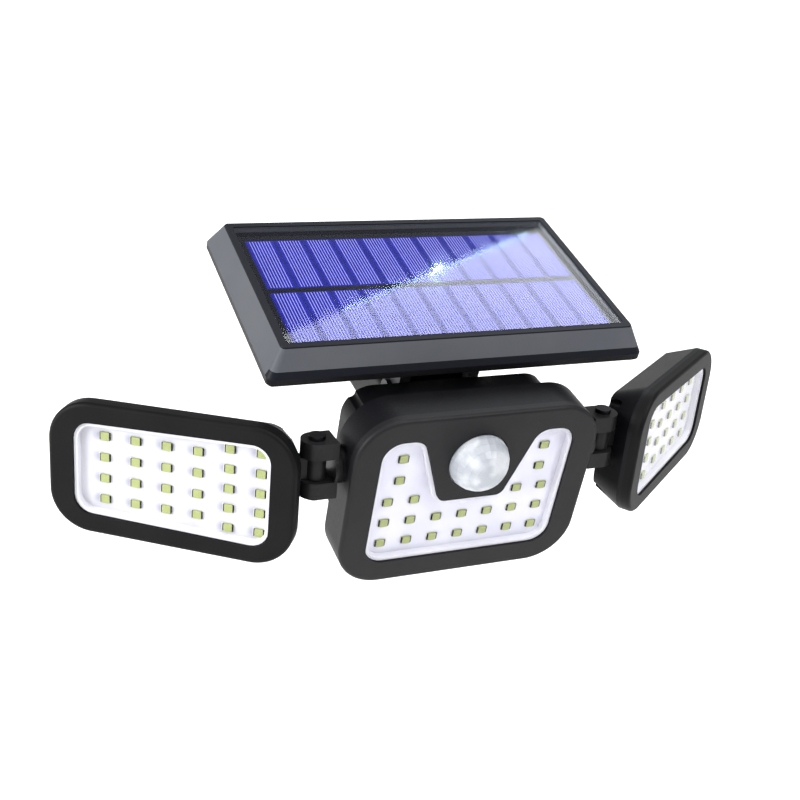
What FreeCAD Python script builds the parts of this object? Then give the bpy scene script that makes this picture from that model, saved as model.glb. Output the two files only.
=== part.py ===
"""Solar security light for a wall: three LED heads, a motion sensor and a tilting solar panel.

Frame: millimetres, +Z up, the wall is the plane Y = 0 and the light looks along -Y.
The origin is the middle of the two wall screws, on the wall, level with the centre face.
A head is modelled flat in its own frame: X across, Y the depth behind its face, Z up, and
the origin in the middle of its face. It is then placed as the photograph shows it.
"""
import FreeCAD, Part
import math
import os

# ---------------------------------------------------------------- fits and shared stock
TOUCH_GAP = 0.3            # between parts that move past each other
SLIP = 0.1                 # between a piece and the recess that it is dropped into
RUNNING = 0.05             # radial clearance of a shaft in its bore
WALL = 2.0                 # moulded wall
LENS_T = 1.2               # clear cover over the LEDs
LENS_SINK = 0.8            # cover below the face
LEDGE_W = 0.6              # ledge that the cover is bonded to
BOARD_T = 1.6              # LED circuit board
BOARD_LAP = 0.8            # board past the edge of its window
CHIP_W = 3.5               # LED package
CHIP_D = 2.8
CHIP_H = 0.7
BEZEL_T = 3.4              # depth of a head's front frame
EDGE_ROUND = 1.4           # rounding of a front frame's outer edge
SEAL_W = 1.0               # rubber seal in its groove
SEAL_T = 1.2
SCREW_R = 1.1              # casing screws
SCREW_HEAD_R = 2.0
SCREW_HEAD_T = 1.6
POST_R = 2.2               # screw post of a front frame
POST_END = 7.0             # depth that the post reaches
SCREW_BITE = 1.4           # casing screw in the front frame itself
CENTRE_SEAT_T = 1.6        # floor under a screw head, centre casing
SIDE_SEAT_T = 1.4          # the same, side casings
SLOT_W = 0.7               # driver slot of a casing screw
SLOT_D = 0.6
BOSS_WALL = 1.0            # plastic round a screw head's pocket
OVERRUN = 1.0              # cutters reach this far past the face that they open

# ---------------------------------------------------------------- centre head
FACE_REACH = 116.0         # wall to the centre face
CENTRE_H = 66.0
CENTRE_R = 16.0
CENTRE_SIDE_D = 15.0       # depth of the full outline
CENTRE_TAPER = 6.0         # how far the rear box is drawn in
CENTRE_TAPER_D = 7.0       # over this depth
CENTRE_D = 30.0
FRAME_SIDE_W = 9.3         # front frame beside the window
FRAME_END_H = 8.45         # front frame above and below the window
WINDOW_R = 7.0
WINDOW_ARM_W = 14.2        # each arm of the window beside the sensor, at its top
NOTCH_FLOOR_SPARE = 1.0    # floor of the notch between the arms, past the dome's side
NOTCH_UNDER_DOME = 4.7
NOTCH_R = 3.3
CENTRE_COLUMNS = 7
CENTRE_ROWS = 5
LED_SIDE_GAP = 6.2         # first and last column from the window's side
LED_LOW_GAP = 6.05         # lowest row from the window's bottom
LED_HIGH_GAP = 8.65        # highest row from the window's top
ARM_LED_INSET = 9.05       # the upper LEDs of each arm of the window, from the window's side
WIRE_HOLE_R = 1.5
WIRE_HOLE_Z = -4.0
DOME_R = 10.5
DOME_BELOW_TOP = 18.7      # middle of the dome below the head's top
DOME_T = 1.0
DOME_SINK = 1.0            # middle of the ball behind the face
SENSOR_R = 4.6
SENSOR_H = 4.2
SENSOR_RIM_W = 0.6
SENSOR_RIM_T = 0.5
SENSOR_WINDOW_W = 3.0
SENSOR_WINDOW_H = 4.0
SENSOR_WINDOW_D = 0.4
CENTRE_SCREW_INSET = 8.0   # casing screws from the head's sides

# ---------------------------------------------------------------- battery and electronics
CELL_R = 9.1               # 18650 lithium cell in its sleeve
CELL_L = 65.0
CELL_Z = -11.0
CELL_CAP_R = 3.0
CELL_CAP_T = 1.0
CRADLE_T = 1.5
CRADLE_END = 1.2
CRADLE_CLEAR = 2.2         # end of the cradle to the casing's rear side wall
PCB_T = 1.2
PCB_W = 52.0
PCB_H = 22.0
PCB_Z = 12.5
PCB_DEPTH = 11.0
PCB_POST_R = 2.2
PCB_POST_INSET = 4.0
PCB_SCREW_R = 1.0
PCB_SCREW_L = 3.5          # screw past the board
PCB_SCREW_HEAD_R = 1.9
PCB_SCREW_HEAD_T = 1.2
PROCESSOR_W = 10.0
PROCESSOR_H = 8.0
PROCESSOR_T = 1.6
COIL_R = 3.6
COIL_H = 4.0
CAPACITOR_R = 2.5
CAPACITOR_H = 5.0
TALL_PART_X = 12.0         # coil on one side of the processor, capacitor on the other
DRIVER_W = 2.4             # LED driver beside the capacitor
DRIVER_H = 4.0
DRIVER_T = 1.2
DRIVER_X = -15.8
DRIVER_DROP = 3.0          # middle of the driver below the middle of the board
BUTTON_R = 3.6
BUTTON_TRAVEL = 1.2
BUTTON_PROUD = 1.6
BUTTON_DEPTH = 9.0
BUTTON_FLANGE = 1.0
BUTTON_FLANGE_W = 0.9
SWITCH_W = 12.0
SWITCH_D = 6.0
SWITCH_H = 3.0
PLUNGER_R = 1.6
PLUNGER_L = 1.7
PLUNGER_GAP = 0.2          # pressed button to the plunger
RIB_T = 1.2                # ribs under the switch

# ---------------------------------------------------------------- side heads
SIDE_W = 81.6
SIDE_H_OUTER = 45.0
SIDE_H_INNER = 48.0
SIDE_R = 14.0
SIDE_SIDE_D = 5.0
SIDE_TAPER = 5.0
SIDE_D = 16.0
SIDE_FRAME_W = 8.3         # front frame at each end of the window
SIDE_FRAME_OUTER_H = 6.6   # front frame above and below the window, at its outer end
SIDE_FRAME_INNER_H = 6.05  # the same, at the end beside the joint
SIDE_WINDOW_R = 6.2
SIDE_BOARD_R = 9.5
SIDE_FOURS = 4             # columns of four LEDs, from the outer end
SIDE_FIVES = 2             # columns of five LEDs, beside the joint
SIDE_LED_OUTER_GAP = 9.75  # first column from the window's outer end
SIDE_LED_INNER_GAP = 3.75  # last column from the window's inner end
SIDE_FOUR_GAP = 4.8        # columns of four from the window's top and bottom
SIDE_FIVE_GAP = 4.15       # columns of five from the window's top and bottom
SIDE_SCREW_INSET = 7.5     # casing screws from the head's sides

# ---------------------------------------------------------------- side joints
JOINT_DEPTH = 10.5         # swivel axis behind the centre face
JOINT_Z = 11.1             # swivel axis above the middle of the centre face
JOINT_OUT = 8.5            # hinge pin outside the centre casing's side
BOSS_R = 6.2               # socket on the centre casing
BOSS_OUT = 1.2             # socket proud of the side wall
BOSS_IN = 7.0              # socket inside the side wall
JOURNAL_R = 3.5
COLLAR_T = 1.2
FLANGE_T = 1.0
EAR_R = 5.2
EAR_T = 5.6
LUG_R = 3.5
LUG_HALF_H = 3.7
HINGE_PIN_R = 1.5
HINGE_HEAD_R = 2.8
HINGE_HEAD_T = 1.4
PIN_STUB = 0.2             # shank inside each head of a pin
NECK_GAP = 2.1             # hinge pin outside the side head's end
NECK_HALF_T = 2.0
NECK_FOOT_HALF_T = 2.8
NECK_FOOT_T = 1.2
NECK_FOOT_LAP = 1.8        # foot below the arm
NECK_FOOT_SHY = 0.9        # foot short of the arm's top, where the wall starts to curve
PIN_DEPTH = 14.3           # hinge pin behind the side head's face
PIN_Z = 7.2                # neck above the middle of the side head
KEEPER_R = 5.0             # washer that keeps the journal in its socket
KEEPER_T = 1.0
KEEPER_SCREW_R = 1.2
KEEPER_SCREW_L = 7.0
KEEPER_HEAD_R = 2.4
KEEPER_HEAD_T = 1.3
SPACER_R = 3.1             # keeps the washer clear of the socket
LEFT_SWIVEL = -11.0        # degrees, as photographed
LEFT_YAW = -34.0
RIGHT_SWIVEL = -10.0
RIGHT_YAW = 36.5

# ---------------------------------------------------------------- solar panel
PANEL_TILT = 5.2
PANEL_DEPTH = 59.9         # middle of the panel's top behind the centre face
PANEL_RISE = 17.85         # middle of the panel's top above the centre head's top
PANEL_W = 126.9
PANEL_L = 72.6
PANEL_FLARE = 4.6
PANEL_SKIRT_H = 9.0
PANEL_RIM_R = 1.5          # corner rounding of the top
PANEL_FOOT_R = 2.5         # corner rounding of the foot
PANEL_RIM_W = 2.4          # rim round the glass
PANEL_SHELF_W = 3.0
PANEL_WALL = 2.2
PANEL_SHELF_T = 1.6
PANEL_BACK_T = 3.2
PANEL_BACK_CHAMFER = 1.0
PANEL_BACK_FLOOR = 1.6
PANEL_BACK_MARGIN = 4.0    # solid border inside the row of screws
PANEL_BACK_R = 3.0
GLASS_R = 0.8
GLASS_T = 1.6
GLASS_SINK = 0.5
LAMINATE_T = 1.2
CELL_T = 0.25
CELL_COLUMNS = 11
CELL_ROWS = 2
CELL_GAP_X = 0.9
CELL_GAP_Y = 2.8
CELL_SIDE_MARGIN = 3.31    # cells from the glass's left and right edge
CELL_FRONT_MARGIN = 0.9    # cells from the glass's front edge
CELL_REAR_MARGIN = 6.3     # cells from the glass's rear edge
PANEL_SCREW_INSET = 7.0
PANEL_SCREW_BOSS_R = 3.0
PANEL_SCREW_L = 3.0        # screw inside the frame's post

# ---------------------------------------------------------------- panel hinge
HINGE_DEPTH = 43.8         # panel hinge behind the centre face
HINGE_Z = 15.5             # panel hinge above the middle of the centre face
KNUCKLE_HALF_W = 10.7
KNUCKLE_R = 5.8
PANEL_EAR_T = 4.0
PANEL_EAR_R = 6.2
PANEL_PIN_R = 2.0
PANEL_PIN_HEAD_R = 3.4
PANEL_PIN_HEAD_T = 1.8
PANEL_NUT_T = 2.4
NUT_SIDES = 6
BRACKET_BASE_T = 3.0
BRACKET_BASE_W = 45.0
BRACKET_BASE_L = 22.0
BRACKET_SCREW_X = 18.6
BRACKET_SCREW_Y = 7.0
BRACKET_BASE_R = 4.0
BRACKET_SCREW_R = 1.4
BRACKET_HEAD_R = 2.5
BRACKET_HEAD_T = 1.4

# ---------------------------------------------------------------- arm and wall plate
ARM_W = 21.4
ARM_H = 20.0
ARM_TOP_Z = 8.0            # above the middle of the centre face
ARM_WALL = 2.2
ARM_R = 3.0
FOOT_W = 34.0              # flange at each end of the arm
FOOT_H = 32.0
FOOT_T = 3.0
FOOT_R = 4.0
FOOT_SCREW_X = 13.0
FOOT_SCREW_Z = 12.4
FOOT_SCREW_R = 1.5
FOOT_SCREW_L = 7.0
FOOT_HEAD_R = 2.8
FOOT_HEAD_T = 1.2
PLATE_SKIN = 0.6           # plate left behind a blind screw hole
PLATE_W = 64.0
PLATE_H = 38.0
PLATE_T = 5.0
PLATE_R = 8.0
WALL_SCREW_R = 2.25
WALL_SCREW_SPACING = 50.0

# ---------------------------------------------------------------- worked out
FACE_Y = -FACE_REACH
BOARD_DEPTH = BEZEL_T
CASING_MOUTH = BEZEL_T
CENTRE_HEAD_SEAT = POST_END + CENTRE_SEAT_T
SIDE_HEAD_SEAT = POST_END + SIDE_SEAT_T
CELL_DEPTH = CENTRE_D - WALL - CRADLE_T - CELL_R - SLIP
CENTRE_W = CELL_L + 2 * (SLIP + CRADLE_END + CRADLE_CLEAR + WALL + CENTRE_TAPER)
WINDOW_W = CENTRE_W - 2 * FRAME_SIDE_W
WINDOW_H = CENTRE_H - 2 * FRAME_END_H
DOME_Z = CENTRE_H / 2 - DOME_BELOW_TOP
NOTCH_FLOOR_Z = DOME_Z - DOME_R - NOTCH_UNDER_DOME
CENTRE_PITCH_X = (WINDOW_W - 2 * LED_SIDE_GAP) / (CENTRE_COLUMNS - 1)
CENTRE_PITCH_Z = (WINDOW_H - LED_LOW_GAP - LED_HIGH_GAP) / (CENTRE_ROWS - 1)
CENTRE_LED_Z = 2 * CENTRE_PITCH_Z + LED_LOW_GAP - WINDOW_H / 2
CENTRE_SCREW_X = CENTRE_W / 2 - CENTRE_SCREW_INSET
CENTRE_SCREW_Z = CENTRE_H / 2 - CENTRE_SCREW_INSET
JOINT_X = CENTRE_W / 2 + JOINT_OUT
SIDE_COLUMNS = SIDE_FOURS + SIDE_FIVES
SIDE_WINDOW_W = SIDE_W - 2 * SIDE_FRAME_W
SIDE_WINDOW_H_OUTER = SIDE_H_OUTER - 2 * SIDE_FRAME_OUTER_H
SIDE_WINDOW_H_INNER = SIDE_H_INNER - 2 * SIDE_FRAME_INNER_H
SIDE_PITCH_X = (SIDE_WINDOW_W - SIDE_LED_OUTER_GAP - SIDE_LED_INNER_GAP) / (SIDE_COLUMNS - 1)
SIDE_PIN_X = SIDE_W / 2 + NECK_GAP
PANEL_Z = CENTRE_H / 2 + PANEL_RISE
CELL_PITCH_X = (PANEL_W - 2 * (PANEL_RIM_W + CELL_SIDE_MARGIN) + CELL_GAP_X) / CELL_COLUMNS
CELL_PITCH_Y = (PANEL_L - 2 * PANEL_RIM_W - CELL_FRONT_MARGIN - CELL_REAR_MARGIN + CELL_GAP_Y) / CELL_ROWS
CELL_SHIFT_Y = (CELL_FRONT_MARGIN - CELL_REAR_MARGIN) / 2


def vec(x, y, z):
    return FreeCAD.Vector(x, y, z)


# ================================================================ outlines and prisms
def rounded_wire(corners, radii, depth, plane="XZ"):
    """Closed wire through corners (a, b) with rounded corners, in an XZ or XY plane."""
    def lift(a, b):
        return vec(a, depth, b) if plane == "XZ" else vec(a, b, depth)

    edges = []
    ends = []
    count = len(corners)
    for i in range(count):
        ax, az = corners[i - 1]
        bx, bz = corners[i]
        cx, cz = corners[(i + 1) % count]
        r = radii[i]
        la = math.hypot(ax - bx, az - bz)
        lc = math.hypot(cx - bx, cz - bz)
        ua = ((ax - bx) / la, (az - bz) / la)
        uc = ((cx - bx) / lc, (cz - bz) / lc)
        half = math.acos(max(-1.0, min(1.0, ua[0] * uc[0] + ua[1] * uc[1]))) / 2
        reach = r / math.tan(half)
        start = (bx + ua[0] * reach, bz + ua[1] * reach)
        stop = (bx + uc[0] * reach, bz + uc[1] * reach)
        bis = (ua[0] + uc[0], ua[1] + uc[1])
        lb = math.hypot(*bis)
        out = r / math.sin(half) - r
        mid = (bx + bis[0] / lb * out, bz + bis[1] / lb * out)
        ends.append((start, mid, stop))
    for i in range(count):
        start, mid, stop = ends[i]
        following = ends[(i + 1) % count][0]
        edges.append(Part.Arc(lift(*start), lift(*mid), lift(*stop)).toShape())
        edges.append(Part.LineSegment(lift(*stop), lift(*following)).toShape())
    return Part.Wire(edges)


def inset(corners, distance):
    """The same outline, drawn in by a distance on every side (counter-clockwise corners)."""
    moved = []
    count = len(corners)
    for i in range(count):
        ax, az = corners[i - 1]
        bx, bz = corners[i]
        cx, cz = corners[(i + 1) % count]
        l1 = math.hypot(bx - ax, bz - az)
        l2 = math.hypot(cx - bx, cz - bz)
        n1 = (-(bz - az) / l1, (bx - ax) / l1)
        n2 = (-(cz - bz) / l2, (cx - bx) / l2)
        scale = distance / (1 + n1[0] * n2[0] + n1[1] * n2[1])
        moved.append((bx + (n1[0] + n2[0]) * scale, bz + (n1[1] + n2[1]) * scale))
    return moved


class Outline:
    """A rounded outline that can be drawn in, extruded and tapered."""

    def __init__(self, corners, radii):
        self.corners = corners
        self.radii = radii

    def drawn_in(self, distance, least=0.5):
        shrunk = []
        count = len(self.corners)
        for i in range(count):
            ax, az = self.corners[i - 1]
            bx, bz = self.corners[i]
            cx, cz = self.corners[(i + 1) % count]
            convex = (bx - ax) * (cz - bz) - (bz - az) * (cx - bx) > 0
            change = -distance if convex else distance
            shrunk.append(max(self.radii[i] + change, least))
        return Outline(inset(self.corners, distance), shrunk)

    def wire(self, depth, plane="XZ"):
        return rounded_wire(self.corners, self.radii, depth, plane)

    def prism(self, front, back):
        return Part.Face(self.wire(front)).extrude(vec(0, back - front, 0))

    def slab(self, low, high):
        return Part.Face(self.wire(low, "XY")).extrude(vec(0, 0, high - low))

    def taper(self, front, back, distance):
        return Part.makeLoft([self.wire(front), self.drawn_in(distance).wire(back)], True, True)


def rectangle(width, height, radius, z=0.0):
    a = width / 2
    b = height / 2
    corners = [(-a, z - b), (a, z - b), (a, z + b), (-a, z + b)]
    return Outline(corners, [radius] * 4)


def trapezoid(width, left_height, right_height, radius):
    a = width / 2
    corners = [(-a, -left_height / 2), (a, -right_height / 2),
               (a, right_height / 2), (-a, left_height / 2)]
    return Outline(corners, [radius] * 4)


def rod(radius, start, end):
    """Round bar between two points."""
    way = vec(*end) - vec(*start)
    return Part.makeCylinder(radius, way.Length, vec(*start), way)


def block(x0, x1, y0, y1, z0, z1):
    return Part.makeBox(x1 - x0, y1 - y0, z1 - z0, vec(x0, y0, z0))


def join(shapes):
    whole = shapes[0]
    for other in shapes[1:]:
        whole = whole.fuse(other)
    return whole.removeSplitter()


def front_edges(shape, depth):
    """Edges that lie wholly in the plane of a given depth."""
    flat = []
    for edge in shape.Edges:
        box = edge.BoundBox
        if abs(box.YMin - depth) < 1e-6 and abs(box.YMax - depth) < 1e-6:
            flat.append(edge)
    return flat


# ================================================================ centre head, in its own frame
def centre_outline():
    return rectangle(CENTRE_W, CENTRE_H, CENTRE_R)


def centre_window():
    a = WINDOW_W / 2
    b = WINDOW_H / 2
    top = a - WINDOW_ARM_W
    floor = DOME_R + NOTCH_FLOOR_SPARE
    corners = [(-a, -b), (a, -b), (a, b), (top, b), (floor, NOTCH_FLOOR_Z),
               (-floor, NOTCH_FLOOR_Z), (-top, b), (-a, b)]
    radii = [WINDOW_R, WINDOW_R, WINDOW_R, WINDOW_R - 1, NOTCH_R, NOTCH_R, WINDOW_R - 1, WINDOW_R]
    return Outline(corners, radii)


def centre_board_outline():
    return rectangle(WINDOW_W + 2 * BOARD_LAP, WINDOW_H + 2 * BOARD_LAP, WINDOW_R + BOARD_LAP)


def centre_screw_places():
    return [(sx * CENTRE_SCREW_X, sz * CENTRE_SCREW_Z) for sx in (-1, 1) for sz in (-1, 1)]


def bezel(outline, window, screws):
    """Front frame: rounded edge, stepped window, posts for the screws."""
    body = outline.prism(0, BEZEL_T)
    body = body.makeFillet(EDGE_ROUND, front_edges(body, 0))
    seat = LENS_SINK + LENS_T
    body = body.cut(window.prism(-OVERRUN, seat))
    body = body.cut(window.drawn_in(LEDGE_W).prism(seat - OVERRUN, BEZEL_T + OVERRUN))
    for x, z in screws:
        body = body.fuse(rod(POST_R, (x, BEZEL_T - SCREW_BITE, z), (x, POST_END, z)))
    for x, z in screws:
        body = body.cut(rod(SCREW_R, (x, BEZEL_T - SCREW_BITE, z), (x, POST_END + OVERRUN, z)))
    return body.removeSplitter()


def lens(window):
    return window.drawn_in(SLIP).prism(LENS_SINK, LENS_SINK + LENS_T)


def chips(places):
    """One small block per LED."""
    front = BOARD_DEPTH - CHIP_H
    blocks = []
    for x, z in places:
        blocks.append(block(x - CHIP_W / 2, x + CHIP_W / 2, front, BOARD_DEPTH,
                            z - CHIP_D / 2, z + CHIP_D / 2))
    return Part.makeCompound(blocks)


def seal(outline):
    """Rubber ring in the casing's mouth."""
    outer = outline.drawn_in(WALL / 2 - SEAL_W / 2)
    ring = outer.prism(CASING_MOUTH, CASING_MOUTH + SEAL_T)
    return ring.cut(outer.drawn_in(SEAL_W).prism(CASING_MOUTH - OVERRUN, CASING_MOUTH + SEAL_T + OVERRUN))


def casing_shell(outline, side_depth, taper_depth, taper, depth):
    """Rear shell: full outline, a slope in, then the rear box. Returns it solid and its hollow."""
    slope_end = side_depth + taper_depth
    outer = outline.prism(CASING_MOUTH, side_depth)
    outer = outer.fuse(outline.taper(side_depth, slope_end, taper))
    hollow_outline = outline.drawn_in(WALL)
    hollow = hollow_outline.prism(CASING_MOUTH - OVERRUN, side_depth)
    if slope_end < depth:
        outer = outer.fuse(outline.drawn_in(taper).prism(slope_end, depth))
        hollow = hollow.fuse(hollow_outline.taper(side_depth, slope_end, taper))
        hollow = hollow.fuse(hollow_outline.drawn_in(taper).prism(slope_end, depth - WALL))
    else:
        shorter = taper_depth - WALL
        hollow = hollow.fuse(hollow_outline.taper(side_depth, depth - WALL, taper * shorter / taper_depth))
    return outer.removeSplitter(), hollow


def screw_bosses(casing, outer, screws, head_seat, depth):
    """Bosses that take the casing screws, each with a pocket for the head."""
    for x, z in screws:
        boss = rod(SCREW_HEAD_R + SLIP + BOSS_WALL, (x, POST_END + SLIP, z), (x, depth, z))
        casing = casing.fuse(boss.common(outer))
    for x, z in screws:
        casing = casing.cut(rod(SCREW_R + SLIP, (x, POST_END - OVERRUN, z), (x, depth + OVERRUN, z)))
        casing = casing.cut(rod(SCREW_HEAD_R + SLIP, (x, head_seat, z), (x, depth + OVERRUN, z)))
        casing = casing.cut(rod(POST_R + SLIP, (x, CASING_MOUTH - OVERRUN, z), (x, POST_END + SLIP, z)))
    return casing


def casing_screws(screws, head_seat):
    made = []
    for x, z in screws:
        top = head_seat + SCREW_HEAD_T
        shank = rod(SCREW_R, (x, BEZEL_T - SCREW_BITE, z), (x, top, z))
        head = rod(SCREW_HEAD_R, (x, head_seat, z), (x, top, z))
        slot = block(x - SCREW_HEAD_R, x + SCREW_HEAD_R, top - SLOT_D, top + OVERRUN,
                     z - SLOT_W / 2, z + SLOT_W / 2)
        made.append(shank.fuse(head).removeSplitter().cut(slot))
    return Part.makeCompound(made)


def pcb_posts():
    a = PCB_W / 2 - PCB_POST_INSET
    b = PCB_H / 2 - PCB_POST_INSET
    return [(sx * a, PCB_Z + sz * b) for sx in (-1, 1) for sz in (-1, 1)]


def foot_screw_places():
    middle = ARM_TOP_Z - ARM_H / 2
    return [(sx * FOOT_SCREW_X, middle + sz * FOOT_SCREW_Z) for sx in (-1, 1) for sz in (-1, 1)]


def centre_bezel():
    body = bezel(centre_outline(), centre_window(), centre_screw_places())
    return body.cut(rod(DOME_R + SLIP, (0, -OVERRUN, DOME_Z), (0, BEZEL_T + OVERRUN, DOME_Z)))


def centre_casing():
    outer, inner = casing_shell(centre_outline(), CENTRE_SIDE_D, CENTRE_TAPER_D, CENTRE_TAPER, CENTRE_D)
    casing = outer.cut(inner)
    wall_x = CENTRE_W / 2
    for side in (-1, 1):
        boss = rod(BOSS_R, (side * (wall_x - BOSS_IN), JOINT_DEPTH, JOINT_Z),
                   (side * (wall_x + BOSS_OUT), JOINT_DEPTH, JOINT_Z))
        casing = casing.fuse(boss)
    casing = casing.cut(block(-wall_x, wall_x, CASING_MOUTH - BOSS_R, CASING_MOUTH,
                              JOINT_Z - BOSS_R, JOINT_Z + BOSS_R))
    casing = screw_bosses(casing, outer, centre_screw_places(), CENTRE_HEAD_SEAT, CENTRE_D)
    for side in (-1, 1):
        inner_end = (side * (wall_x - BOSS_IN - OVERRUN), JOINT_DEPTH, JOINT_Z)
        outer_end = (side * (wall_x + BOSS_OUT + OVERRUN), JOINT_DEPTH, JOINT_Z)
        casing = casing.cut(rod(JOURNAL_R + RUNNING, inner_end, outer_end))
    board_back = PCB_DEPTH + PCB_T
    for x, z in pcb_posts():
        casing = casing.fuse(rod(PCB_POST_R, (x, board_back, z), (x, CENTRE_D - WALL / 2, z)))
    for x, z in pcb_posts():
        casing = casing.cut(rod(PCB_SCREW_R, (x, PCB_DEPTH, z), (x, board_back + PCB_SCREW_L + SLIP, z)))
    underside = -CENTRE_H / 2
    casing = casing.cut(rod(BUTTON_R + SLIP, (0, BUTTON_DEPTH, underside - OVERRUN),
                            (0, BUTTON_DEPTH, underside + WALL + OVERRUN)))
    for side in (-1, 1):
        rib_x = side * (SWITCH_W - RIB_T) / 2
        casing = casing.fuse(block(rib_x - RIB_T / 2, rib_x + RIB_T / 2, BUTTON_DEPTH - SWITCH_D / 2,
                                   BUTTON_DEPTH + SWITCH_D / 2, underside + WALL / 2, switch_floor()))
    inside = CENTRE_D - WALL - OVERRUN
    for x, z in foot_screw_places():
        casing = casing.cut(rod(FOOT_SCREW_R + SLIP, (x, inside, z), (x, CENTRE_D + OVERRUN, z)))
    casing = casing.cut(wire_way(inside))
    return casing.cut(seal(centre_outline())).removeSplitter()


def wire_way(start):
    """Round hole from a depth in the casing into the hollow arm."""
    return rod(ARM_W / 2 - ARM_WALL, (0, start, arm_middle()), (0, CENTRE_D + OVERRUN, arm_middle()))


def centre_led_places():
    places = []
    middle = (CENTRE_COLUMNS - 1) / 2
    for row in (1, 2):
        for column in range(CENTRE_COLUMNS):
            places.append(((column - middle) * CENTRE_PITCH_X, CENTRE_LED_Z - row * CENTRE_PITCH_Z))
    for column in (0, 1, CENTRE_COLUMNS - 2, CENTRE_COLUMNS - 1):
        places.append(((column - middle) * CENTRE_PITCH_X, CENTRE_LED_Z))
    for row in (1, 2):
        for side in (-1, 1):
            places.append((side * (WINDOW_W / 2 - ARM_LED_INSET), CENTRE_LED_Z + row * CENTRE_PITCH_Z))
    return places


def centre_led_board():
    back = BOARD_DEPTH + BOARD_T
    board = centre_board_outline().prism(BOARD_DEPTH, back)
    hole = rod(WIRE_HOLE_R, (0, BOARD_DEPTH - OVERRUN, WIRE_HOLE_Z), (0, back + OVERRUN, WIRE_HOLE_Z))
    return board.cut(hole)


def pir_dome():
    """Half ball with a short skirt that stands on the board."""
    middle = (0, DOME_SINK, DOME_Z)
    ball = Part.makeSphere(DOME_R, vec(*middle))
    hollow = Part.makeSphere(DOME_R - DOME_T, vec(*middle))
    room = DOME_R + OVERRUN
    front = block(-room, room, -room, DOME_SINK, DOME_Z - room, DOME_Z + room)
    cap = ball.cut(hollow).common(front)
    skirt = rod(DOME_R, middle, (0, BOARD_DEPTH, DOME_Z))
    bore = rod(DOME_R - DOME_T, (0, DOME_SINK - OVERRUN, DOME_Z), (0, BOARD_DEPTH + OVERRUN, DOME_Z))
    return cap.fuse(skirt.cut(bore)).removeSplitter()


def pir_sensor():
    """Round metal can with a window in its lid."""
    top = BOARD_DEPTH - SENSOR_H
    can = rod(SENSOR_R, (0, top, DOME_Z), (0, BOARD_DEPTH, DOME_Z))
    rim = rod(SENSOR_R + SENSOR_RIM_W, (0, BOARD_DEPTH - SENSOR_RIM_T, DOME_Z), (0, BOARD_DEPTH, DOME_Z))
    window = block(-SENSOR_WINDOW_W / 2, SENSOR_WINDOW_W / 2, top - OVERRUN, top + SENSOR_WINDOW_D,
                   DOME_Z - SENSOR_WINDOW_H / 2, DOME_Z + SENSOR_WINDOW_H / 2)
    return can.fuse(rim).removeSplitter().cut(window)


def battery_cell():
    half = CELL_L / 2
    cell = rod(CELL_R, (-half, CELL_DEPTH, CELL_Z), (half - CELL_CAP_T, CELL_DEPTH, CELL_Z))
    cap = rod(CELL_CAP_R, (half - 2 * CELL_CAP_T, CELL_DEPTH, CELL_Z), (half, CELL_DEPTH, CELL_Z))
    return cell.fuse(cap).removeSplitter()


def battery_cradle():
    """Trough behind the cell, with an end wall at each end, on the casing's rear wall."""
    half = CELL_L / 2 + SLIP + CRADLE_END
    lip = CELL_R + SLIP + CRADLE_T
    trough = block(-half, half, CELL_DEPTH, CENTRE_D - WALL, CELL_Z - lip, CELL_Z + lip)
    bed = rod(CELL_R + SLIP, (-half + CRADLE_END, CELL_DEPTH, CELL_Z), (half - CRADLE_END, CELL_DEPTH, CELL_Z))
    for x, z in foot_screw_places():
        trough = trough.cut(rod(FOOT_HEAD_R + SLIP, (x, CELL_DEPTH - OVERRUN, z), (x, CENTRE_D, z)))
    return trough.cut(bed).cut(wire_way(CELL_DEPTH))


def control_board():
    board = block(-PCB_W / 2, PCB_W / 2, PCB_DEPTH, PCB_DEPTH + PCB_T, PCB_Z - PCB_H / 2, PCB_Z + PCB_H / 2)
    back = PCB_DEPTH + PCB_T
    for x, z in pcb_posts():
        board = board.cut(rod(PCB_SCREW_R + SLIP, (x, PCB_DEPTH - OVERRUN, z), (x, back + OVERRUN, z)))
    return board


def on_control_board(x, z, width, height, thick):
    """Flat component on the front of the control board."""
    return block(x - width / 2, x + width / 2, PCB_DEPTH - thick, PCB_DEPTH, z - height / 2, z + height / 2)


def control_parts():
    """Processor, coil, capacitor and LED driver on the control board."""
    made = [on_control_board(0, PCB_Z, PROCESSOR_W, PROCESSOR_H, PROCESSOR_T),
            rod(COIL_R, (TALL_PART_X, PCB_DEPTH - COIL_H, PCB_Z), (TALL_PART_X, PCB_DEPTH, PCB_Z)),
            rod(CAPACITOR_R, (-TALL_PART_X, PCB_DEPTH - CAPACITOR_H, PCB_Z + CAPACITOR_R),
                (-TALL_PART_X, PCB_DEPTH, PCB_Z + CAPACITOR_R)),
            on_control_board(DRIVER_X, PCB_Z - DRIVER_DROP, DRIVER_W, DRIVER_H, DRIVER_T)]
    return Part.makeCompound(made)


def control_screws():
    made = []
    for x, z in pcb_posts():
        shank = rod(PCB_SCREW_R, (x, PCB_DEPTH - PCB_SCREW_HEAD_T, z), (x, PCB_DEPTH + PCB_T + PCB_SCREW_L, z))
        head = rod(PCB_SCREW_HEAD_R, (x, PCB_DEPTH - PCB_SCREW_HEAD_T, z), (x, PCB_DEPTH, z))
        made.append(shank.fuse(head).removeSplitter())
    return Part.makeCompound(made)


def plunger_end():
    """Height of the plunger's tip, just above the button when it is pressed in."""
    return -CENTRE_H / 2 + WALL + SLIP + BUTTON_FLANGE + BUTTON_TRAVEL + PLUNGER_GAP


def switch_floor():
    return plunger_end() + PLUNGER_L


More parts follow.
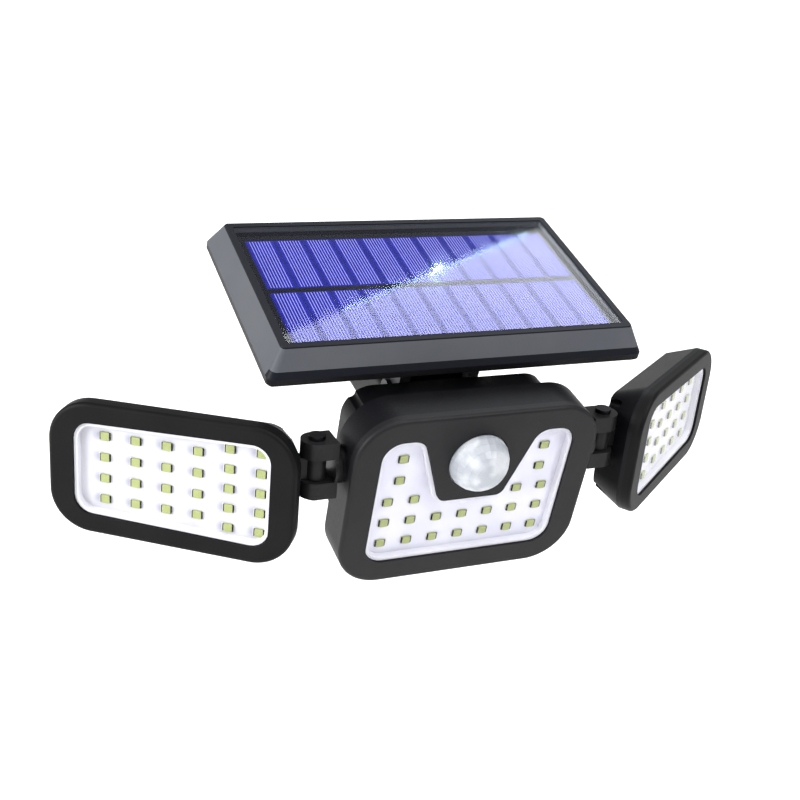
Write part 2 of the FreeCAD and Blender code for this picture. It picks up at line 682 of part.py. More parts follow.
def mode_button():
    """Round button through the casing's underside, kept in by a flange."""
    wall_out = -CENTRE_H / 2
    seat = wall_out + WALL + SLIP
    stem = rod(BUTTON_R, (0, BUTTON_DEPTH, wall_out - BUTTON_PROUD), (0, BUTTON_DEPTH, seat))
    flange = rod(BUTTON_R + BUTTON_FLANGE_W, (0, BUTTON_DEPTH, seat), (0, BUTTON_DEPTH, seat + BUTTON_FLANGE))
    return stem.fuse(flange).removeSplitter()


def mode_switch():
    """Push switch on two ribs, its plunger over the button."""
    floor = switch_floor()
    body = block(-SWITCH_W / 2, SWITCH_W / 2, BUTTON_DEPTH - SWITCH_D / 2, BUTTON_DEPTH + SWITCH_D / 2,
                 floor, floor + SWITCH_H)
    plunger = rod(PLUNGER_R, (0, BUTTON_DEPTH, plunger_end()), (0, BUTTON_DEPTH, floor + SWITCH_H / 2))
    return body.fuse(plunger).removeSplitter()


# ================================================================ side joints
# Modelled for the light's right side: +X is outwards and the swivel axis is the X axis.
def swivel_wall():
    return CENTRE_W / 2 + BOSS_OUT


def collar():
    """Loose friction ring between the socket and the elbow."""
    start = swivel_wall() + TOUCH_GAP / 2
    ring = rod(BOSS_R, (start, 0, 0), (start + COLLAR_T, 0, 0))
    return ring.cut(rod(JOURNAL_R + SLIP, (start - OVERRUN, 0, 0), (start + COLLAR_T + OVERRUN, 0, 0)))


def elbow():
    """Journal, round flange and a fork of two ears for the hinge pin."""
    start = swivel_wall() + TOUCH_GAP / 2 + COLLAR_T
    face = start + FLANGE_T
    inner_end = CENTRE_W / 2 - BOSS_IN
    ear_in = LUG_HALF_H + TOUCH_GAP
    ear_out = ear_in + EAR_T
    body = rod(JOURNAL_R, (inner_end, 0, 0), (face, 0, 0))
    body = body.fuse(rod(BOSS_R, (start, 0, 0), (face, 0, 0)))
    body = body.fuse(block(start, face, -EAR_R, EAR_R, -ear_out, ear_out))
    for side in (-1, 1):
        low, high = sorted((side * ear_in, side * ear_out))
        body = body.fuse(rod(EAR_R, (JOINT_X, 0, low), (JOINT_X, 0, high)))
        body = body.fuse(block(start, JOINT_X, -EAR_R, EAR_R, low, high))
    body = body.removeSplitter()
    reach = ear_out + OVERRUN
    body = body.cut(rod(HINGE_PIN_R + RUNNING, (JOINT_X, 0, -reach), (JOINT_X, 0, reach)))
    return body.cut(rod(KEEPER_SCREW_R, (inner_end - OVERRUN, 0, 0), (inner_end + KEEPER_SCREW_L, 0, 0)))


def keeper():
    """Screw and washer inside the casing that keep the journal in its socket."""
    inner_end = CENTRE_W / 2 - BOSS_IN
    washer_out = inner_end - TOUCH_GAP
    washer_in = washer_out - KEEPER_T
    washer = rod(KEEPER_R, (washer_in, 0, 0), (washer_out, 0, 0))
    spacer = rod(SPACER_R, (washer_in, 0, 0), (inner_end, 0, 0))
    shank = rod(KEEPER_SCREW_R, (washer_in, 0, 0), (inner_end + KEEPER_SCREW_L, 0, 0))
    head = rod(KEEPER_HEAD_R, (washer_in - KEEPER_HEAD_T, 0, 0), (washer_in, 0, 0))
    return join([washer, spacer, shank, head])


def hinge_pin():
    """Pin through the fork and the neck's lug, with a low round head at each end."""
    end = LUG_HALF_H + TOUCH_GAP + EAR_T
    pin = rod(HINGE_PIN_R, (JOINT_X, 0, -end - PIN_STUB), (JOINT_X, 0, end + PIN_STUB))
    top = rod(HINGE_HEAD_R, (JOINT_X, 0, end), (JOINT_X, 0, end + HINGE_HEAD_T))
    foot = rod(HINGE_HEAD_R, (JOINT_X, 0, -end - HINGE_HEAD_T), (JOINT_X, 0, -end))
    return join([pin, top, foot])


# ================================================================ side heads
# Modelled for the light's right side: the joint is at -X.
def side_outline():
    return trapezoid(SIDE_W, SIDE_H_INNER, SIDE_H_OUTER, SIDE_R)


def side_window():
    return trapezoid(SIDE_WINDOW_W, SIDE_WINDOW_H_INNER, SIDE_WINDOW_H_OUTER, SIDE_WINDOW_R)


def side_board_outline():
    spare = 2 * BOARD_LAP
    return trapezoid(SIDE_WINDOW_W + spare, SIDE_WINDOW_H_INNER + spare,
                     SIDE_WINDOW_H_OUTER + spare, SIDE_BOARD_R)


def side_screw_places():
    x = SIDE_W / 2 - SIDE_SCREW_INSET
    inner_z = SIDE_H_INNER / 2 - SIDE_SCREW_INSET
    outer_z = SIDE_H_OUTER / 2 - SIDE_SCREW_INSET
    return [(-x, -inner_z), (-x, inner_z), (x, -outer_z), (x, outer_z)]


def side_led_places():
    places = []
    for column in range(SIDE_COLUMNS):
        x = SIDE_LED_INNER_GAP - SIDE_WINDOW_W / 2 + column * SIDE_PITCH_X
        if column < SIDE_FIVES:
            count = 5
            span = SIDE_WINDOW_H_INNER - 2 * SIDE_FIVE_GAP
        else:
            count = 4
            span = SIDE_WINDOW_H_OUTER - 2 * SIDE_FOUR_GAP
        for row in range(count):
            places.append((x, span / 2 - row * span / (count - 1)))
    return places


def side_bezel():
    return bezel(side_outline(), side_window(), side_screw_places())


def side_casing():
    outer, inner = casing_shell(side_outline(), SIDE_SIDE_D, SIDE_D - SIDE_SIDE_D, SIDE_TAPER, SIDE_D)
    casing = outer.cut(inner)
    casing = screw_bosses(casing, outer, side_screw_places(), SIDE_HEAD_SEAT, SIDE_D)
    casing = casing.cut(neck_web(SLIP))
    return casing.cut(seal(side_outline())).removeSplitter()


def end_wall_angle():
    """Slope of the side head's end wall, in degrees from its depth direction."""
    return math.degrees(math.atan2(SIDE_TAPER, SIDE_D - SIDE_SIDE_D))


def pin_to_wall():
    """From the hinge pin square to the end wall's outer face."""
    slope = math.radians(end_wall_angle())
    return NECK_GAP * math.cos(slope) + (PIN_DEPTH - SIDE_SIDE_D) * math.sin(slope)


def at_pin(shape):
    """From the pin's own frame, X square into the end wall, to the side head's frame."""
    shape = shape.copy()
    shape.rotate(vec(0, 0, 0), vec(0, 0, 1), -end_wall_angle())
    shape.translate(vec(-SIDE_PIN_X, PIN_DEPTH, PIN_Z))
    return shape


def inner_face():
    return pin_to_wall() + WALL * math.cos(math.radians(end_wall_angle()))


def neck_web(clearance=0.0):
    """Flat arm of the neck through the side head's end wall."""
    thick = NECK_HALF_T + clearance
    tall = LUG_HALF_H + clearance
    return at_pin(block(0, inner_face() + TOUCH_GAP + clearance, -thick, thick, -tall, tall))


def neck():
    """Lug on the hinge pin, arm to the head and the foot inside its wall."""
    lug = at_pin(rod(LUG_R, (0, 0, -LUG_HALF_H), (0, 0, LUG_HALF_H)))
    foot = at_pin(block(inner_face(), inner_face() + NECK_FOOT_T, -NECK_FOOT_HALF_T, NECK_FOOT_HALF_T,
                        -LUG_HALF_H - NECK_FOOT_LAP, LUG_HALF_H - NECK_FOOT_SHY))
    body = join([lug, neck_web(), foot])
    reach = LUG_HALF_H + OVERRUN
    return body.cut(at_pin(rod(HINGE_PIN_R + RUNNING, (0, 0, -reach), (0, 0, reach))))


# ================================================================ solar panel, in its own frame
# Origin in the middle of its top, Z up, X and Y along its sides.
def panel_rectangle(extra, radius):
    """The panel's outline, larger by an extra on every side."""
    return rectangle(PANEL_W + 2 * extra, PANEL_L + 2 * extra, radius)


def flare_at(height):
    """How far the skirt stands out past the rim at a height below the top."""
    return -height / PANEL_SKIRT_H * PANEL_FLARE


def panel_skirt(low, high, drawn):
    """Solid flared body between two heights, drawn in by a wall."""
    upper = panel_rectangle(flare_at(high) - drawn, PANEL_RIM_R)
    lower = panel_rectangle(flare_at(low) - drawn, PANEL_FOOT_R)
    return Part.makeLoft([upper.wire(high, "XY"), lower.wire(low, "XY")], True, True)


def glass_outline(clearance=0.0):
    return panel_rectangle(-PANEL_RIM_W - clearance, GLASS_R)


def panel_screw_places():
    x = PANEL_W / 2 - PANEL_SCREW_INSET
    y = PANEL_L / 2 - PANEL_SCREW_INSET
    return [(sx * x, sy * y) for sx in (-1, 1) for sy in (-1, 1)]


def panel_frame():
    """Flared frame: rim, shelf under the laminate, skirt and screw posts."""
    foot = -PANEL_SKIRT_H
    bed = -GLASS_SINK - GLASS_T - CELL_T - LAMINATE_T
    shelf_low = bed - PANEL_SHELF_T
    body = panel_skirt(foot, 0, 0)
    body = body.cut(glass_outline().slab(bed, OVERRUN))
    body = body.cut(panel_rectangle(-PANEL_RIM_W - PANEL_SHELF_W, GLASS_R).slab(foot - OVERRUN, 0))
    body = body.cut(panel_skirt(foot - OVERRUN, shelf_low, PANEL_WALL))
    for x, y in panel_screw_places():
        body = body.fuse(rod(PANEL_SCREW_BOSS_R, (x, y, foot), (x, y, shelf_low + PANEL_SHELF_T / 2)))
    for x, y in panel_screw_places():
        body = body.cut(rod(SCREW_R, (x, y, foot - OVERRUN), (x, y, shelf_low)))
    return body.removeSplitter()


def panel_back():
    """Shallow cover under the frame, with the screw holes."""
    foot = -PANEL_SKIRT_H
    base = foot - PANEL_BACK_T
    edge = base + PANEL_BACK_CHAMFER
    upper = panel_rectangle(PANEL_FLARE, PANEL_FOOT_R)
    lower = panel_rectangle(PANEL_FLARE - PANEL_BACK_CHAMFER, PANEL_FOOT_R - PANEL_BACK_CHAMFER)
    body = upper.slab(edge, foot)
    body = body.fuse(Part.makeLoft([upper.wire(edge, "XY"), lower.wire(base, "XY")], True, True))
    body = body.removeSplitter()
    inner = panel_rectangle(-PANEL_SCREW_INSET - PANEL_BACK_MARGIN, PANEL_BACK_R)
    body = body.cut(inner.slab(base + PANEL_BACK_FLOOR, foot + OVERRUN))
    for x, y in panel_screw_places():
        body = body.cut(rod(SCREW_R + SLIP, (x, y, base - OVERRUN), (x, y, foot + OVERRUN)))
        body = body.cut(rod(SCREW_HEAD_R + SLIP, (x, y, base - OVERRUN), (x, y, base + SCREW_HEAD_T)))
    for x, y in bracket_screw_places():
        body = body.cut(rod(BRACKET_SCREW_R, (x, y, base - OVERRUN), (x, y, foot + OVERRUN)))
    return body


def panel_screws():
    made = []
    base = -PANEL_SKIRT_H - PANEL_BACK_T
    for x, y in panel_screw_places():
        shank = rod(SCREW_R, (x, y, base), (x, y, PANEL_SCREW_L - PANEL_SKIRT_H))
        head = rod(SCREW_HEAD_R, (x, y, base), (x, y, base + SCREW_HEAD_T))
        made.append(shank.fuse(head).removeSplitter())
    return Part.makeCompound(made)


def panel_glass():
    top = -GLASS_SINK
    return glass_outline(SLIP).slab(top - GLASS_T, top)


def laminate():
    top = -GLASS_SINK - GLASS_T - CELL_T
    return glass_outline(SLIP).slab(top - LAMINATE_T, top)


def solar_cells():
    """Two rows of narrow cells on the laminate, under the glass."""
    low = -GLASS_SINK - GLASS_T - CELL_T
    width = CELL_PITCH_X - CELL_GAP_X
    length = CELL_PITCH_Y - CELL_GAP_Y
    made = []
    for column in range(CELL_COLUMNS):
        x = (column - (CELL_COLUMNS - 1) / 2) * CELL_PITCH_X
        for row in range(CELL_ROWS):
            y = CELL_SHIFT_Y + (row - (CELL_ROWS - 1) / 2) * CELL_PITCH_Y
            made.append(block(x - width / 2, x + width / 2, y - length / 2, y + length / 2, low, low + CELL_T))
    return Part.makeCompound(made)


def bracket_offset():
    """Hinge axis seen from the panel's frame: back along Y, up along Z."""
    tilt = math.radians(PANEL_TILT)
    dy = HINGE_DEPTH - PANEL_DEPTH
    dz = HINGE_Z - PANEL_Z
    return (dy * math.cos(tilt) + dz * math.sin(tilt), -dy * math.sin(tilt) + dz * math.cos(tilt))


def bracket_screw_places():
    y, _ = bracket_offset()
    return [(sx * BRACKET_SCREW_X, y + sy * BRACKET_SCREW_Y) for sx in (-1, 1) for sy in (-1, 1)]


def panel_bracket():
    """Base plate under the panel with two ears that hold the arm's knuckle."""
    y, z = bracket_offset()
    top = -PANEL_SKIRT_H - PANEL_BACK_T
    base_low = top - BRACKET_BASE_T
    ear_in = KNUCKLE_HALF_W + TOUCH_GAP
    ear_out = ear_in + PANEL_EAR_T
    base = rectangle(BRACKET_BASE_W, BRACKET_BASE_L, BRACKET_BASE_R).slab(base_low, top)
    base.translate(vec(0, y, 0))
    body = base
    for side in (-1, 1):
        low, high = sorted((side * ear_in, side * ear_out))
        body = body.fuse(rod(PANEL_EAR_R, (low, y, z), (high, y, z)))
        body = body.fuse(block(low, high, y - PANEL_EAR_R, y + PANEL_EAR_R, z, top))
    body = body.removeSplitter()
    body = body.cut(rod(PANEL_PIN_R + RUNNING, (-ear_out - OVERRUN, y, z), (ear_out + OVERRUN, y, z)))
    for x, screw_y in bracket_screw_places():
        body = body.cut(rod(BRACKET_SCREW_R, (x, screw_y, base_low - OVERRUN), (x, screw_y, top + OVERRUN)))
    return body


def bracket_screws():
    made = []
    top = -PANEL_SKIRT_H - PANEL_BACK_T
    base_low = top - BRACKET_BASE_T
    for x, y in bracket_screw_places():
        shank = rod(BRACKET_SCREW_R, (x, y, base_low - BRACKET_HEAD_T), (x, y, top + PANEL_BACK_T - SLIP))
        head = rod(BRACKET_HEAD_R, (x, y, base_low - BRACKET_HEAD_T), (x, y, base_low))
        made.append(shank.fuse(head).removeSplitter())
    return Part.makeCompound(made)


# ================================================================ arm and wall plate, centre frame
def arm_middle():
    return ARM_TOP_Z - ARM_H / 2


def panel_hinge_rod(radius, start, stop):
    """Round bar along the panel's hinge, between two distances from the middle."""
    return rod(radius, (start, HINGE_DEPTH, HINGE_Z), (stop, HINGE_DEPTH, HINGE_Z))


def support_arm():
    """Hollow arm from the wall plate to the casing, with the panel's knuckle on top."""
    start = CENTRE_D
    stop = FACE_REACH - PLATE_T
    tube = rectangle(ARM_W, ARM_H, ARM_R, arm_middle())
    foot = rectangle(FOOT_W, FOOT_H, FOOT_R, arm_middle())
    body = tube.prism(start, stop)
    body = body.fuse(foot.prism(start, start + FOOT_T))
    body = body.fuse(foot.prism(stop - FOOT_T, stop))
    body = body.fuse(panel_hinge_rod(KNUCKLE_R, -KNUCKLE_HALF_W, KNUCKLE_HALF_W))
    body = body.fuse(block(-ARM_W / 2, ARM_W / 2, HINGE_DEPTH - KNUCKLE_R, HINGE_DEPTH + KNUCKLE_R,
                           ARM_TOP_Z - ARM_R, HINGE_Z))
    body = body.removeSplitter()
    body = body.cut(tube.drawn_in(ARM_WALL).prism(start - OVERRUN, stop + OVERRUN))
    reach = KNUCKLE_HALF_W + OVERRUN
    body = body.cut(panel_hinge_rod(PANEL_PIN_R + RUNNING, -reach, reach))
    for x, z in foot_screw_places():
        body = body.cut(rod(FOOT_SCREW_R, (x, start - OVERRUN, z), (x, start + FOOT_T + OVERRUN, z)))
        body = body.cut(rod(FOOT_SCREW_R + SLIP, (x, stop - FOOT_T - OVERRUN, z), (x, stop + OVERRUN, z)))
    return body


def panel_pin():
    """Hinge screw with a round head and a hexagon nut."""
    ear_out = KNUCKLE_HALF_W + TOUCH_GAP + PANEL_EAR_T
    shank = panel_hinge_rod(PANEL_PIN_R, -ear_out - PIN_STUB, ear_out + PANEL_NUT_T)
    head = panel_hinge_rod(PANEL_PIN_HEAD_R, -ear_out - PANEL_PIN_HEAD_T, -ear_out)
    return join([shank, head])


def panel_nut():
    """Hexagon nut on the right end of the hinge screw."""
    ear_out = KNUCKLE_HALF_W + TOUCH_GAP + PANEL_EAR_T
    corners = []
    for i in range(NUT_SIDES + 1):
        turn = 2 * math.pi * i / NUT_SIDES
        corners.append(vec(ear_out, HINGE_DEPTH + PANEL_PIN_HEAD_R * math.cos(turn),
                           HINGE_Z + PANEL_PIN_HEAD_R * math.sin(turn)))
    nut = Part.Face(Part.makePolygon(corners)).extrude(vec(PANEL_NUT_T, 0, 0))
    return nut.cut(panel_hinge_rod(PANEL_PIN_R, ear_out - OVERRUN, ear_out + PANEL_NUT_T + OVERRUN))


def arm_screws():
    """Four screws from inside the casing and four from the arm's rear flange."""
    made = []
    stop = FACE_REACH - PLATE_T
    for x, z in foot_screw_places():
        front = rod(FOOT_SCREW_R, (x, CENTRE_D - WALL - FOOT_HEAD_T, z), (x, CENTRE_D + FOOT_T, z))
        front_head = rod(FOOT_HEAD_R, (x, CENTRE_D - WALL - FOOT_HEAD_T, z), (x, CENTRE_D - WALL, z))
        made.append(front.fuse(front_head).removeSplitter())
        rear = rod(FOOT_SCREW_R, (x, stop - FOOT_T - FOOT_HEAD_T, z), (x, FACE_REACH - PLATE_SKIN, z))
        rear_head = rod(FOOT_HEAD_R, (x, stop - FOOT_T - FOOT_HEAD_T, z), (x, stop - FOOT_T, z))
        made.append(rear.fuse(rear_head).removeSplitter())
    return Part.makeCompound(made)


def wall_plate():
    """Plate on the wall with two screw holes, one on each side of the arm."""
    front = FACE_REACH - PLATE_T
    plate = rectangle(PLATE_W, PLATE_H, PLATE_R).prism(front, FACE_REACH)
    for side in (-1, 1):
        x = side * WALL_SCREW_SPACING / 2
        plate = plate.cut(rod(WALL_SCREW_R, (x, front - OVERRUN, 0), (x, FACE_REACH + OVERRUN, 0)))
    for x, z in foot_screw_places():
        plate = plate.cut(rod(FOOT_SCREW_R, (x, front - OVERRUN, z), (x, FACE_REACH - PLATE_SKIN, z)))
    return plate


# ================================================================ placing
def to_centre(shape):
    """From the centre head's frame to the light's frame."""
    shape = shape.copy()
    shape.translate(vec(0, FACE_Y, 0))
    return shape


def turned(shape, axis, angle, pivot=(0, 0, 0)):
    shape = shape.copy()
    shape.rotate(vec(*pivot), vec(*axis), angle)
    return shape


def mirrored(shape):
    return shape.mirror(vec(0, 0, 0), vec(1, 0, 0))


def to_joint(shape, side, swivel):
    """An elbow's piece, modelled for the right side, at its socket."""
    shape = shape if side > 0 else mirrored(shape)
    shape = turned(shape, (1, 0, 0), swivel)
    shape.translate(vec(0, FACE_Y + JOINT_DEPTH, JOINT_Z))
    return shape


def to_side(shape, side, swivel, yaw):
    """A side head's piece, modelled for the right side, on its hinge pin."""
    shape = shape if side > 0 else mirrored(shape)
    shape = shape.copy()
    shape.translate(vec(side * SIDE_PIN_X, -PIN_DEPTH, -PIN_Z))
    shape = turned(shape, (0, 0, 1), yaw)
    shape.translate(vec(side * JOINT_X, 0, 0))
    shape = turned(shape, (1, 0, 0), swivel)
    shape.translate(vec(0, FACE_Y + JOINT_DEPTH, JOINT_Z))
    return shape


def to_panel(shape):
    """From the panel's frame to the light's frame."""
    shape = turned(shape, (1, 0, 0), PANEL_TILT)
    shape.translate(vec(0, FACE_Y + PANEL_DEPTH, PANEL_Z))
    return shape


def build():
    parts = {
        "centre_bezel": to_centre(centre_bezel()),
        "centre_casing": to_centre(centre_casing()),
        "centre_seal": to_centre(seal(centre_outline())),
        "centre_lens": to_centre(lens(centre_window())),
        "centre_led_board": to_centre(centre_led_board()),
        "centre_leds": to_centre(chips(centre_led_places())),
        "centre_screws": to_centre(casing_screws(centre_screw_places(), CENTRE_HEAD_SEAT)),
        "pir_dome": to_centre(pir_dome()),
        "pir_sensor": to_centre(pir_sensor()),
        "battery_cell": to_centre(battery_cell()),
        "battery_cradle": to_centre(battery_cradle()),
        "control_board": to_centre(control_board()),
        "control_parts": to_centre(control_parts()),
        "control_screws": to_centre(control_screws()),
        "mode_button": to_centre(mode_button()),
        "mode_switch": to_centre(mode_switch()),
        "support_arm": to_centre(support_arm()),
        "arm_screws": to_centre(arm_screws()),
        "wall_plate": to_centre(wall_plate()),
        "panel_pin": to_centre(panel_pin()),
        "panel_nut": to_centre(panel_nut()),
        "panel_frame": to_panel(panel_frame()),
        "panel_back": to_panel(panel_back()),
        "panel_screws": to_panel(panel_screws()),
        "panel_glass": to_panel(panel_glass()),
        "panel_laminate": to_panel(laminate()),
        "solar_cells": to_panel(solar_cells()),
        "panel_bracket": to_panel(panel_bracket()),
        "bracket_screws": to_panel(bracket_screws()),
    }
    for name, side, swivel, yaw in (("left", -1, LEFT_SWIVEL, LEFT_YAW), ("right", 1, RIGHT_SWIVEL, RIGHT_YAW)):
        for piece, shape in (("collar", collar()), ("elbow", elbow()), ("keeper", keeper()),
                             ("hinge_pin", hinge_pin())):
            parts[name + "_" + piece] = to_joint(shape, side, swivel)
        for piece, shape in (("neck", neck()), ("bezel", side_bezel()), ("casing", side_casing()),
                             ("seal", seal(side_outline())), ("lens", lens(side_window())),
                             ("led_board", side_board_outline().prism(BOARD_DEPTH, BOARD_DEPTH + BOARD_T)),
                             ("leds", chips(side_led_places())),
                             ("screws", casing_screws(side_screw_places(), SIDE_HEAD_SEAT))):
            parts[name + "_" + piece] = to_side(shape, side, swivel, yaw)
    return parts


os.makedirs("parts", exist_ok=True)
for node, solid in build().items():
    solid.exportStep("parts/" + node + ".step")
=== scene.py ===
import math

import bmesh
import bpy
from mathutils import Matrix, Vector


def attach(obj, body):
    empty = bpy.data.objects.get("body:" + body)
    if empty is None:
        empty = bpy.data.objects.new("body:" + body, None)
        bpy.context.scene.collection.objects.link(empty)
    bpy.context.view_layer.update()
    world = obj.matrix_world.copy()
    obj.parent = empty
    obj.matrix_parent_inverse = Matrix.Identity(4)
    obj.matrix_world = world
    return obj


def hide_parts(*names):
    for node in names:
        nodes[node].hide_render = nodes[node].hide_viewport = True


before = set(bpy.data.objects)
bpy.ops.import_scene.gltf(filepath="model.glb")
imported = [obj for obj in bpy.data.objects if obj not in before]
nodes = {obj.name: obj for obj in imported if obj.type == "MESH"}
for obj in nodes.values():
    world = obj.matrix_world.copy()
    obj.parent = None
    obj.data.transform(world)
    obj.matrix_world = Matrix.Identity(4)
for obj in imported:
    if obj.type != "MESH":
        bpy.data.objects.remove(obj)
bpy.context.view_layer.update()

# ---------------------------------------------------------------- camera
# The photograph's camera, found from the panel's edges and the rows of LEDs: a short
# telephoto in front of the light, to its left and above it, rolled a little clockwise.
CAMERA_AT = Vector((-0.17259, -0.38778, 0.23600))
CAMERA_RIGHT = Vector((0.91904, -0.36189, 0.15618))
CAMERA_UP = Vector((0.07719, 0.55381, 0.82906))
CAMERA_LENS = 53.81

camera_data = bpy.data.cameras.new("camera")
camera_data.lens = CAMERA_LENS
camera_data.clip_start = 0.01
camera = bpy.data.objects.new("camera", camera_data)
bpy.context.scene.collection.objects.link(camera)
back = CAMERA_RIGHT.cross(CAMERA_UP)
camera.matrix_world = Matrix((
    (CAMERA_RIGHT.x, CAMERA_UP.x, back.x, CAMERA_AT.x),
    (CAMERA_RIGHT.y, CAMERA_UP.y, back.y, CAMERA_AT.y),
    (CAMERA_RIGHT.z, CAMERA_UP.z, back.z, CAMERA_AT.z),
    (0, 0, 0, 1),
))
bpy.context.scene.camera = camera


# ---------------------------------------------------------------- wall plate and arm
# The plate is screwed to the wall by two screws, and the hollow arm carries the head and
# the panel's knuckle. Both are black moulded ABS with a fine spark-eroded texture.
class Paint:
    """An output socket of a material's nodes, for sums and for more nodes."""

    def __init__(self, tree, out=None):
        self.tree = tree
        self.out = out

    def node(self, kind, settings, sockets, out=0):
        made = self.tree.nodes.new(kind)
        for key, value in settings.items():
            if key == "stops":
                ramp = made.color_ramp
                while len(ramp.elements) < len(value):
                    ramp.elements.new(0.5)
                for stop, (place, colour) in zip(ramp.elements, value):
                    stop.position = place
                    stop.color = (*colour, 1)
            else:
                setattr(made, key, value)
        for key, value in sockets.items():
            if isinstance(value, Paint):
                self.tree.links.new(value.out, made.inputs[key])
            else:
                made.inputs[key].default_value = value
        return None if out is None else Paint(self.tree, made.outputs[out])

    def maths(self, operation, first, second):
        return self.node("ShaderNodeMath", {"operation": operation}, {0: first, 1: second})

    def __add__(self, other):
        return self.maths("ADD", self, other)

    __radd__ = __add__

    def __mul__(self, other):
        return self.maths("MULTIPLY", self, other)

    __rmul__ = __mul__

    def __sub__(self, other):
        return self.maths("SUBTRACT", self, other)

    def __rsub__(self, other):
        return self.maths("SUBTRACT", other, self)

    def __truediv__(self, other):
        return self.maths("DIVIDE", self, other)

    def above(self, limit):
        return self.maths("GREATER_THAN", self, limit)

    def blended(self, dark, light):
        """Colour between two, by this mask."""
        sockets = {0: self, 6: self.colour(dark), 7: self.colour(light)}
        return self.node("ShaderNodeMix", {"data_type": "RGBA"}, sockets, 2)

    def colour(self, value):
        return value if isinstance(value, Paint) else (*value, 1)

    def eased(self, low, high, start, stop):
        """This value from one range to another, smoothly and held at the ends."""
        sockets = {0: self, 1: low, 2: high, 3: start, 4: stop}
        return self.node("ShaderNodeMapRange", {"interpolation_type": "SMOOTHSTEP"}, sockets)

    def noise(self, place, scale, detail=3.0):
        sockets = {"Vector": place, "Scale": scale, "Detail": detail}
        return self.node("ShaderNodeTexNoise", {}, sockets)


def finish(name, **constants):
    """A material: its Principled shader, a Paint to make nodes with and the object's coordinates."""
    made = bpy.data.materials.new(name)
    made.use_nodes = True
    shader = made.node_tree.nodes["Principled BSDF"]
    for key, value in constants.items():
        shader.inputs[key.replace("_", " ")].default_value = value
    start = Paint(made.node_tree)
    place = start.node("ShaderNodeTexCoord", {}, {}, "Object")
    return made, shader, start, place


def feed(start, shader, **values):
    for key, value in values.items():
        start.tree.links.new(value.out, shader.inputs[key.replace("_", " ")])


def relief(start, height, distance, strength=1.0):
    sockets = {"Strength": strength, "Distance": distance, "Height": height}
    return start.node("ShaderNodeBump", {}, sockets)


def moulded(name, dark, light, rough, grain=1400.0, depth=0.00004, shine=0.15):
    """Moulded plastic: faint clouding of the colour, fine grain, uneven gloss."""
    made, shader, start, place = finish(name, Specular_IOR_Level=shine)
    cloud = start.noise(place, 45.0)
    texture = start.noise(place, grain, 2.0)
    feed(start, shader,
         Base_Color=cloud.eased(0.35, 0.65, 0.0, 1.0).blended(dark, light),
         Roughness=rough + 0.10 * texture + 0.06 * cloud,
         Normal=relief(start, texture, depth))
    return made


def wear(made, *names):
    """Gives CAD nodes a finish."""
    for name in names:
        slots = nodes[name].data.materials
        slots.clear()
        slots.append(made)


black_abs = moulded("black_abs", (0.0035, 0.0035, 0.0045), (0.0065, 0.0065, 0.0075), 0.42)
wear(black_abs, "wall_plate", "support_arm")


# Zinc-plated steel of the screws: bright, with fine turning marks and duller patches.
def plated(name, dark, light, rough):
    made, shader, start, place = finish(name, Metallic=1.0)
    dull_patch_and_shadow = start.noise(place, 260.0)
    marks = start.noise(place, 2600.0, 1.0)
    feed(start, shader,
         Base_Color=dull_patch_and_shadow.blended(dark, light),
         Roughness=rough + 0.18 * dull_patch_and_shadow,
         Normal=relief(start, marks, 0.00002))
    return made


zinc = plated("zinc_plate", (0.42, 0.42, 0.43), (0.66, 0.66, 0.68), 0.24)
wear(zinc, "arm_screws", "centre_screws", "control_screws", "left_screws", "right_screws",
     "left_keeper", "right_keeper", "panel_screws", "bracket_screws")

# ---------------------------------------------------------------- centre casing and its front frame
# The shell and the rounded front frame are the same black ABS. The frame is finer in
# texture, with a soft sheen, and is clamped on a rubber seal by four screws from behind.
frame_abs = moulded("front_frame_abs", (0.0065, 0.0065, 0.0075), (0.0095, 0.0092, 0.0105),
                    0.42, 1900.0, 0.000025, 0.18)
side_frame_abs = moulded("side_frame_abs", (0.0030, 0.0030, 0.0032), (0.0045, 0.0045, 0.0048),
                         0.42, 1900.0, 0.000025, 0.10)
shell_abs = moulded("shell_abs", (0.0025, 0.0026, 0.0035), (0.0045, 0.0046, 0.006),
                    0.36, 1400.0, 0.00004, 0.12)
wear(frame_abs, "centre_bezel")
wear(shell_abs, "centre_casing")

rubber = moulded("seal_rubber", (0.006, 0.006, 0.006), (0.010, 0.010, 0.010), 0.72, 900.0)
wear(rubber, "centre_seal", "left_seal", "right_seal", "left_collar", "right_collar", "mode_button")

# ---------------------------------------------------------------- battery and electronics
# Inside the casing: a lithium cell in a blue sleeve in its cradle, the green control board
# with its parts, the push switch and the sensor's metal can.
sleeve, shader, start, place = finish("cell_sleeve", Coat_Weight=0.3)
cloud = start.noise(place, 60.0)
feed(start, shader,
     Base_Color=cloud.blended((0.02, 0.10, 0.34), (0.03, 0.14, 0.42)),
     Roughness=0.28 + 0.1 * cloud)
wear(sleeve, "battery_cell")
wear(black_abs, "battery_cradle")

solder_mask, shader, start, place = finish("green_solder_mask", Coat_Weight=0.4)
weave = start.noise(place, 700.0)
feed(start, shader,
     Base_Color=weave.blended((0.008, 0.10, 0.035), (0.015, 0.15, 0.05)),
     Roughness=0.3 + 0.2 * weave)
wear(solder_mask, "control_board")
wear(moulded("component_black", (0.012, 0.012, 0.012), (0.02, 0.02, 0.02), 0.5),
     "control_parts", "mode_switch")
wear(plated("sensor_can", (0.5, 0.5, 0.5), (0.7, 0.7, 0.68), 0.2), "pir_sensor")


# ---------------------------------------------------------------- LED boards
# White-masked aluminium boards under each window. The mask is glossy and slightly lavender
# in daylight, and on the side heads a grey painted shadow is laid beside each LED.
FACE_REACH = 0.116
BOARD_AT = 0.0034


def on_centre():
    return Matrix.Translation((0, -FACE_REACH, 0))


